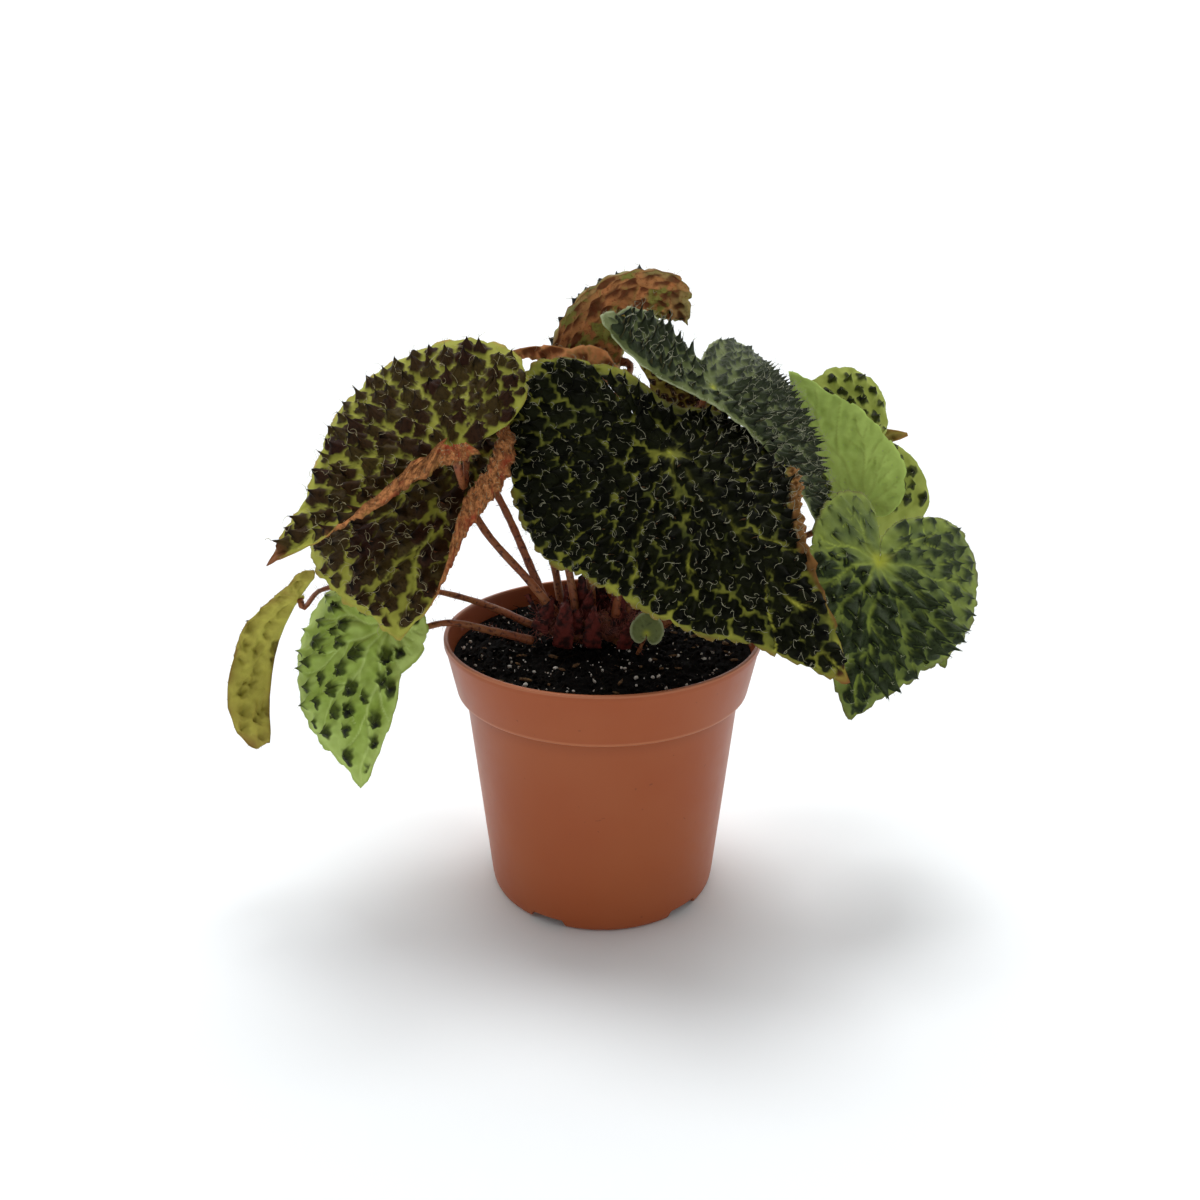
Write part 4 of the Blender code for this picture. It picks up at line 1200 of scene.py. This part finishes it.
def close_at_axis(mesh):
    """Merges the points that a turned shape has on its axis, and turns its faces outwards."""
    shape = bmesh.new()
    shape.from_mesh(mesh)
    bmesh.ops.remove_doubles(shape, verts=shape.verts, dist=MERGED)
    bmesh.ops.dissolve_degenerate(shape, edges=shape.edges, dist=MERGED)
    bmesh.ops.recalc_face_normals(shape, faces=shape.faces)
    shape.to_mesh(mesh)
    shape.free()


def make_pot():
    """The moulded pot: turned, with its drain notches and holes cut out."""
    profile = pot_profile()
    ring = np.array(profile + profile[:1])
    steps = 180
    angle = np.arange(steps) * math.tau / steps
    points = [(r * math.cos(a), r * math.sin(a), z) for r, z in ring for a in angle]
    pot = build("pot", points, grid_faces(len(ring), steps, closed=True), [pot_material()])
    close_at_axis(pot.data)
    cutters = [tool for number in range(FEET) for tool in notch_and_drain(number)]
    for tool in cutters:
        cut = pot.modifiers.new(tool.name, "BOOLEAN")
        cut.operation = "DIFFERENCE"
        cut.solver = "EXACT"
        cut.object = tool
    depsgraph = bpy.context.evaluated_depsgraph_get()
    finished = bpy.data.meshes.new_from_object(pot.evaluated_get(depsgraph))
    pot.modifiers.clear()
    pot.data = finished
    for tool in cutters:
        bpy.data.objects.remove(tool, do_unlink=True)
    pot.data.set_sharp_from_angle(angle=math.radians(32))
    declare(pot, "terracotta_plastic", "pot")


def soil_height(x, y):
    """Height of the mounded soil before its roughness."""
    return SOIL_EDGE + SOIL_MOUND * (1 - np.minimum(1.0, np.hypot(x, y) / RIM_RADIUS) ** 2)


def bumps(rng, x, y, size, count=60):
    """Sum of random waves about size millimetres long."""
    total = np.zeros_like(x)
    for _ in range(count):
        way = rng.uniform(0, math.tau)
        wave = math.tau / (size * rng.uniform(0.6, 1.6))
        total += np.sin((x * math.cos(way) + y * math.sin(way)) * wave + rng.uniform(0, math.tau))
    return total / math.sqrt(count)


def make_soil(rng):
    """Peat filling the pot, rough on top."""
    wall = inner_wall(GAP)
    low, high = wall[-2], wall[-1]
    edge = low[0] + (SOIL_EDGE - low[1]) / (high[1] - low[1]) * (high[0] - low[0])
    rings, steps = ((95, 220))
    radius = np.concatenate([np.linspace(0.0, edge, rings), [r for r, _ in wall[-2::-1]], [0.0]])
    depth = np.concatenate([np.zeros(rings), [z for _, z in wall[-2::-1]], [wall[0][1]]])
    angle = np.arange(steps) * math.tau / steps
    x = radius[:, None] * np.cos(angle)
    y = radius[:, None] * np.sin(angle)
    z = np.broadcast_to(depth[:, None], x.shape).copy()
    rough = 0.45 * bumps(rng, x[:rings], y[:rings], 2.6) + 0.5 * bumps(rng, x[:rings], y[:rings], 8.0)
    calmer = np.clip((edge - radius[:rings]) / 3, 0.1, 1)[:, None]
    z[:rings] = soil_height(x[:rings], y[:rings]) + rough * calmer - 0.3
    points = np.stack([x, y, z], axis=-1).reshape(-1, 3)
    peat = soil_material("peat", "050403", "15110D")
    piece = build("soil", points, grid_faces(len(radius), steps, closed=True)[:, ::-1], [peat])
    declare(piece, "peat", "soil")


def lumps(rng, places, sizes, flatness, material, name):
    """Small rough grains lying about: one mesh of many."""
    shape = bmesh.new()
    bmesh.ops.create_icosphere(shape, subdivisions=1, radius=1.0)
    ball = np.array([corner.co[:] for corner in shape.verts])
    faces = np.array([[corner.index for corner in face.verts] for face in shape.faces])
    shape.free()
    parts = []
    for place, size, flat in zip(places, sizes, flatness):
        body = ball * (1 + rng.uniform(-0.28, 0.28, (len(ball), 1))) * size * np.array(flat)
        turn = rng.uniform(0, math.tau)
        tilt = rng.uniform(-0.5, 0.5)
        cos, sin = math.cos(turn), math.sin(turn)
        spin = np.array([[cos, -sin, 0], [sin, cos, 0], [0, 0, 1]])
        cos, sin = math.cos(tilt), math.sin(tilt)
        lean = np.array([[1, 0, 0], [0, cos, -sin], [0, sin, cos]])
        parts.append((body @ (spin @ lean).T + place, faces))
    points, triangles = joined(parts)
    declare(build(name, points, triangles, [material], smooth=False), "peat")


def on_soil(rng, count, lift):
    """Random places on the soil, lifted by some millimetres."""
    radius = DRESSED_RADIUS * np.sqrt(rng.uniform(0, 1, count))
    angle = rng.uniform(0, math.tau, count)
    x, y = radius * np.cos(angle), radius * np.sin(angle)
    return np.stack([x, y, soil_height(x, y) + lift], axis=1)


def dress_soil(rng):
    """Peat crumbs and fibres, white perlite and tan bark bits."""
    count = 900
    crumbs = on_soil(rng, count, 0.1)
    sizes = rng.uniform(0.35, 1.5, count) * rng.uniform(0.6, 1.0, count)
    shapes = rng.uniform(0.6, 1.2, (count, 3))
    lumps(rng, crumbs, sizes, shapes, soil_material("crumbs", "060504", "1C1610", 0.8), "soil_crumbs")

    count = 260
    fibres = on_soil(rng, count, 0.7)
    ways = unit(rng.normal(size=(count, 3)) * np.array((1, 1, 0.25)))
    lines = curls(rng, fibres, ways, rng.uniform(1.5, 6.0, count), 0.15, 4)
    points, triangles = tubes(lines, np.full((count, 5), 0.12), 3)
    fibre = soil_material("fibre", "1A130C", "3A2A1C", 2.0)
    declare(build("soil_fibres", points, triangles, [fibre]), "peat")

    count = 300
    grains = on_soil(rng, count, 0.45)
    sizes = 0.24 + 0.62 * rng.uniform(0, 1, count) ** 3
    lumps(rng, grains, sizes, rng.uniform(0.5, 1.45, (count, 3)), perlite_material(), "perlite")

    count = 90
    chips = on_soil(rng, count, 0.6)
    sides = [rng.uniform(low, high, count) for low, high in ((0.8, 1.8), (0.3, 0.8), (0.3, 0.6))]
    bark = soil_material("bark", "5A4430", "9A7C56", 1.0)
    lumps(rng, chips, rng.uniform(0.5, 1.7, count), np.stack(sides, axis=1), bark, "bark")


# ---------------------------------------------------------------- crown


def make_rhizome(rng, material):
    """The creeping stem: knobbly, scarred and hairy."""
    centre = np.array([
        (-22, 4, 104.6), (-17, 3, 105), (-12, 1, 105.6), (-6, 0, 105), (0, 1, 105.6), (6, 0, 105),
        (11, 1, 104.6),
    ])
    radii = np.array((3.2, 5.4, 5.0, 6.0, 5.2, 5.6, 3.4))
    at = np.linspace(0, 6, 60)
    line = np.stack([smooth_through(range(7), centre[:, axis], at) for axis in range(3)], axis=-1)
    fat = smooth_through(range(7), radii, at) * np.sqrt(np.clip(1 - (np.abs(at - 3) / 3.02) ** 8, 0.02, 1))
    points, triangles = tubes(line[None], fat[None], 40)
    out = unit(points - np.repeat(line, 40, axis=0))
    knobs = bumps(rng, points[:, 0] + points[:, 2], points[:, 1] - points[:, 2] * 0.6, 4.0)
    points = points + out * (0.6 * knobs)[:, None]
    declare(build("rhizome", points, triangles, [material]), "stem", "rhizome")


def scale_leaf(foot, tip, width, hollow, rng, twist=0.0):
    """A thin papery scale from foot to tip, hollow along its middle and a little torn at the edge."""
    rows, columns = 22, 12
    up = np.linspace(0, 1, rows)[:, None]
    across = np.linspace(-1, 1, columns)[None]
    foot, tip = np.asarray(foot, float), np.asarray(tip, float)
    way = tip - foot
    rise = unit(way)
    outwards = unit(np.array((tip[0] - 0.6 * foot[0], tip[1] - 4, 0.0)))
    side = unit(np.cross(rise, outwards))
    face = np.cross(side, rise)
    half = width / 2 * (1 - up**2.4) ** 0.8 * (1 + 0.08 * rng.normal(size=(rows, 1)))
    turn = twist * up
    wide = np.cos(turn) * half * across
    twisted = np.sin(turn) * half * across
    sideways = wide[..., None] * side + twisted[..., None] * face
    bow = hollow * (1 - across**2) * (0.4 + 0.6 * up) + 0.35 * rng.normal(size=(rows, columns)) * up
    front = foot + up[..., None] * way + sideways + bow[..., None] * face
    front = front.reshape(-1, 3)
    faces = grid_faces(rows, columns)
    triangles, _, _ = closed_skin(faces, front, np.broadcast_to(face, front.shape))
    return np.concatenate([front, front - SKIN * face]), triangles


def make_stipules(rng, material, hair):
    """Pink-red scales that stand where the stalks leave the rhizome."""
    named = {
        "left": ((-15, -10.5, 101.5), (-13, -14, 122), 8.0),
        "middle": ((-4, -10.5, 101.5), (-3, -13, 119), 7.0),
        "right": ((8, -10.5, 101.0), (10, -13, 113), 6.0),
    }
    for side, (foot, tip, width) in named.items():
        points, triangles = scale_leaf(foot, tip, width, 1.6, rng)
        declare(build(f"stipule_{side}", points, triangles, [material]), "stipule", f"stipule_{side}")

    parts = []
    for _ in range(16):
        foot = np.array((rng.uniform(-24, 13), rng.uniform(-8, 8), 106 + rng.uniform(0, 3)))
        tip = foot + np.array((rng.uniform(-6, 6), rng.uniform(-6, 2), rng.uniform(9, 18)))
        width, hollow, twist = (rng.uniform(low, high) for low, high in ((4, 8), (0.8, 2.2), (-1.2, 1.2)))
        parts.append(scale_leaf(foot, tip, width, hollow, rng, twist))
    points, triangles = joined(parts)
    declare(build("stipules_small", points, triangles, [material]), "stipule")

    count = 900
    spans = ((-25, 13), (-8, 8), (103, 113))
    roots = np.stack([rng.uniform(low, high, count) for low, high in spans], axis=1)
    ways = unit(random_directions(rng, count) + np.array((0, -0.4, 0.5)))
    lines = curls(rng, roots, ways, rng.uniform(2.0, 5.0, count), 0.15, 4)
    points, triangles = tubes(lines, np.full((count, 5), 0.08), 3)
    declare(build("hairs_crown", points, triangles, [hair]), "stem")


# ---------------------------------------------------------------- everything

# Slot of the record for each leaf.
SLOTS = dict.fromkeys(LEAVES, "leaf_dark")
SLOTS.update(dict.fromkeys(("young_left", "right_folded", "right_back", "seedling"), "leaf_fresh"))
SLOTS.update(dict.fromkeys(("crown_curled", "back_low"), "leaf_brown"))
FACES = {name: leaf_face_material(f"face_{name}", palette) for name, palette in PALETTES.items()}
BACKS = {name: leaf_back_material(f"back_{name}", palette) for name, palette in PALETTES.items()}
HAIRS = {name: hair_material(f"hair_{name}", palette["hair"]) for name, palette in PALETTES.items()}

stem_skin = stem_material("stem_skin", "8C4E30", "52281A")
rhizome_skin = stem_material("rhizome_skin", "5E2A20", "2E140E")
papery = papery_material("papery_scale", "62261F", "260C0A")
red_hair = hair_material("red_hair", "94584A")

for number, (name, leaf) in enumerate(LEAVES.items()):
    looks = LOOKS[name]
    found = make_leaf(name, leaf, looks, LEAF_SEED + number)
    make_hairs(name, looks, found, HAIR_SEED + number)
    make_stalk(name, leaf, stem_skin, red_hair, STALK_SEED + number)

make_pot()
rng = np.random.default_rng(DRESSING_SEED)
make_soil(rng)
dress_soil(rng)
make_rhizome(rng, rhizome_skin)
make_stipules(rng, papery, red_hair)


# ---------------------------------------------------------------- stage


def make_stage():
    """Pale floor, a wide soft light overhead, the sky all round, and the camera."""
    collection = bpy.context.scene.collection
    mesh = bpy.data.meshes.new("floor")
    far = 6.0  # metres
    mesh.from_pydata([(-far, -far, 0), (far, -far, 0), (far, far, 0), (-far, far, 0)], [], [(0, 1, 2, 3)])
    floor = bpy.data.objects.new("floor", mesh)
    collection.objects.link(floor)
    # Matt white paper, so that the floor takes soft shadows and throws back no gleam.
    paper, add = new_material("paper")
    finish_surface(add, linear("EFF3F5"), 0.9)
    mesh.materials.append(paper)

    world = bpy.data.worlds.new("studio")
    world.use_nodes = True
    world.node_tree.nodes.clear()
    add = partial(add_node, world.node_tree)
    way = add("TexCoord", output=0)
    height = add("SeparateXYZ", None, {"Vector": way}, 2)
    depth = add("SeparateXYZ", None, {"Vector": way}, 1)
    above = add("MapRange", SMOOTH, {"Value": height, "From Min": 0.03, "From Max": 0.42})
    span = {"Value": depth, "From Min": -0.6, "From Max": 0.6, "To Min": SKY_AHEAD, "To Max": SKY_BEHIND}
    sky = add("MapRange", None, span)
    strength = add("MapRange", None, {"Value": above, "To Min": HORIZON, "To Max": sky})
    light = add("Background", None, {"Color": (1, 1, 1, 1), "Strength": strength})
    add("OutputWorld", None, {"Surface": light})
    bpy.context.scene.world = world

    sun = bpy.data.lights.new("ceiling_light", "SUN")
    sun.angle = math.radians(SUN_SPREAD)
    sun.energy = SUN
    lamp = bpy.data.objects.new("ceiling_light", sun)
    lamp.rotation_euler.x = math.radians(SUN_TILT)
    collection.objects.link(lamp)

    camera = bpy.data.cameras.new("camera")
    camera.lens = LENS
    camera.sensor_width = SENSOR
    camera.clip_start = 0.01
    eye = bpy.data.objects.new("camera", camera)
    eye.location = EYE
    eye.rotation_euler.x = math.radians(90 + EYE_PITCH)
    collection.objects.link(eye)
    bpy.context.scene.camera = eye
    bpy.context.scene.view_settings.view_transform = "Standard"


make_stage()
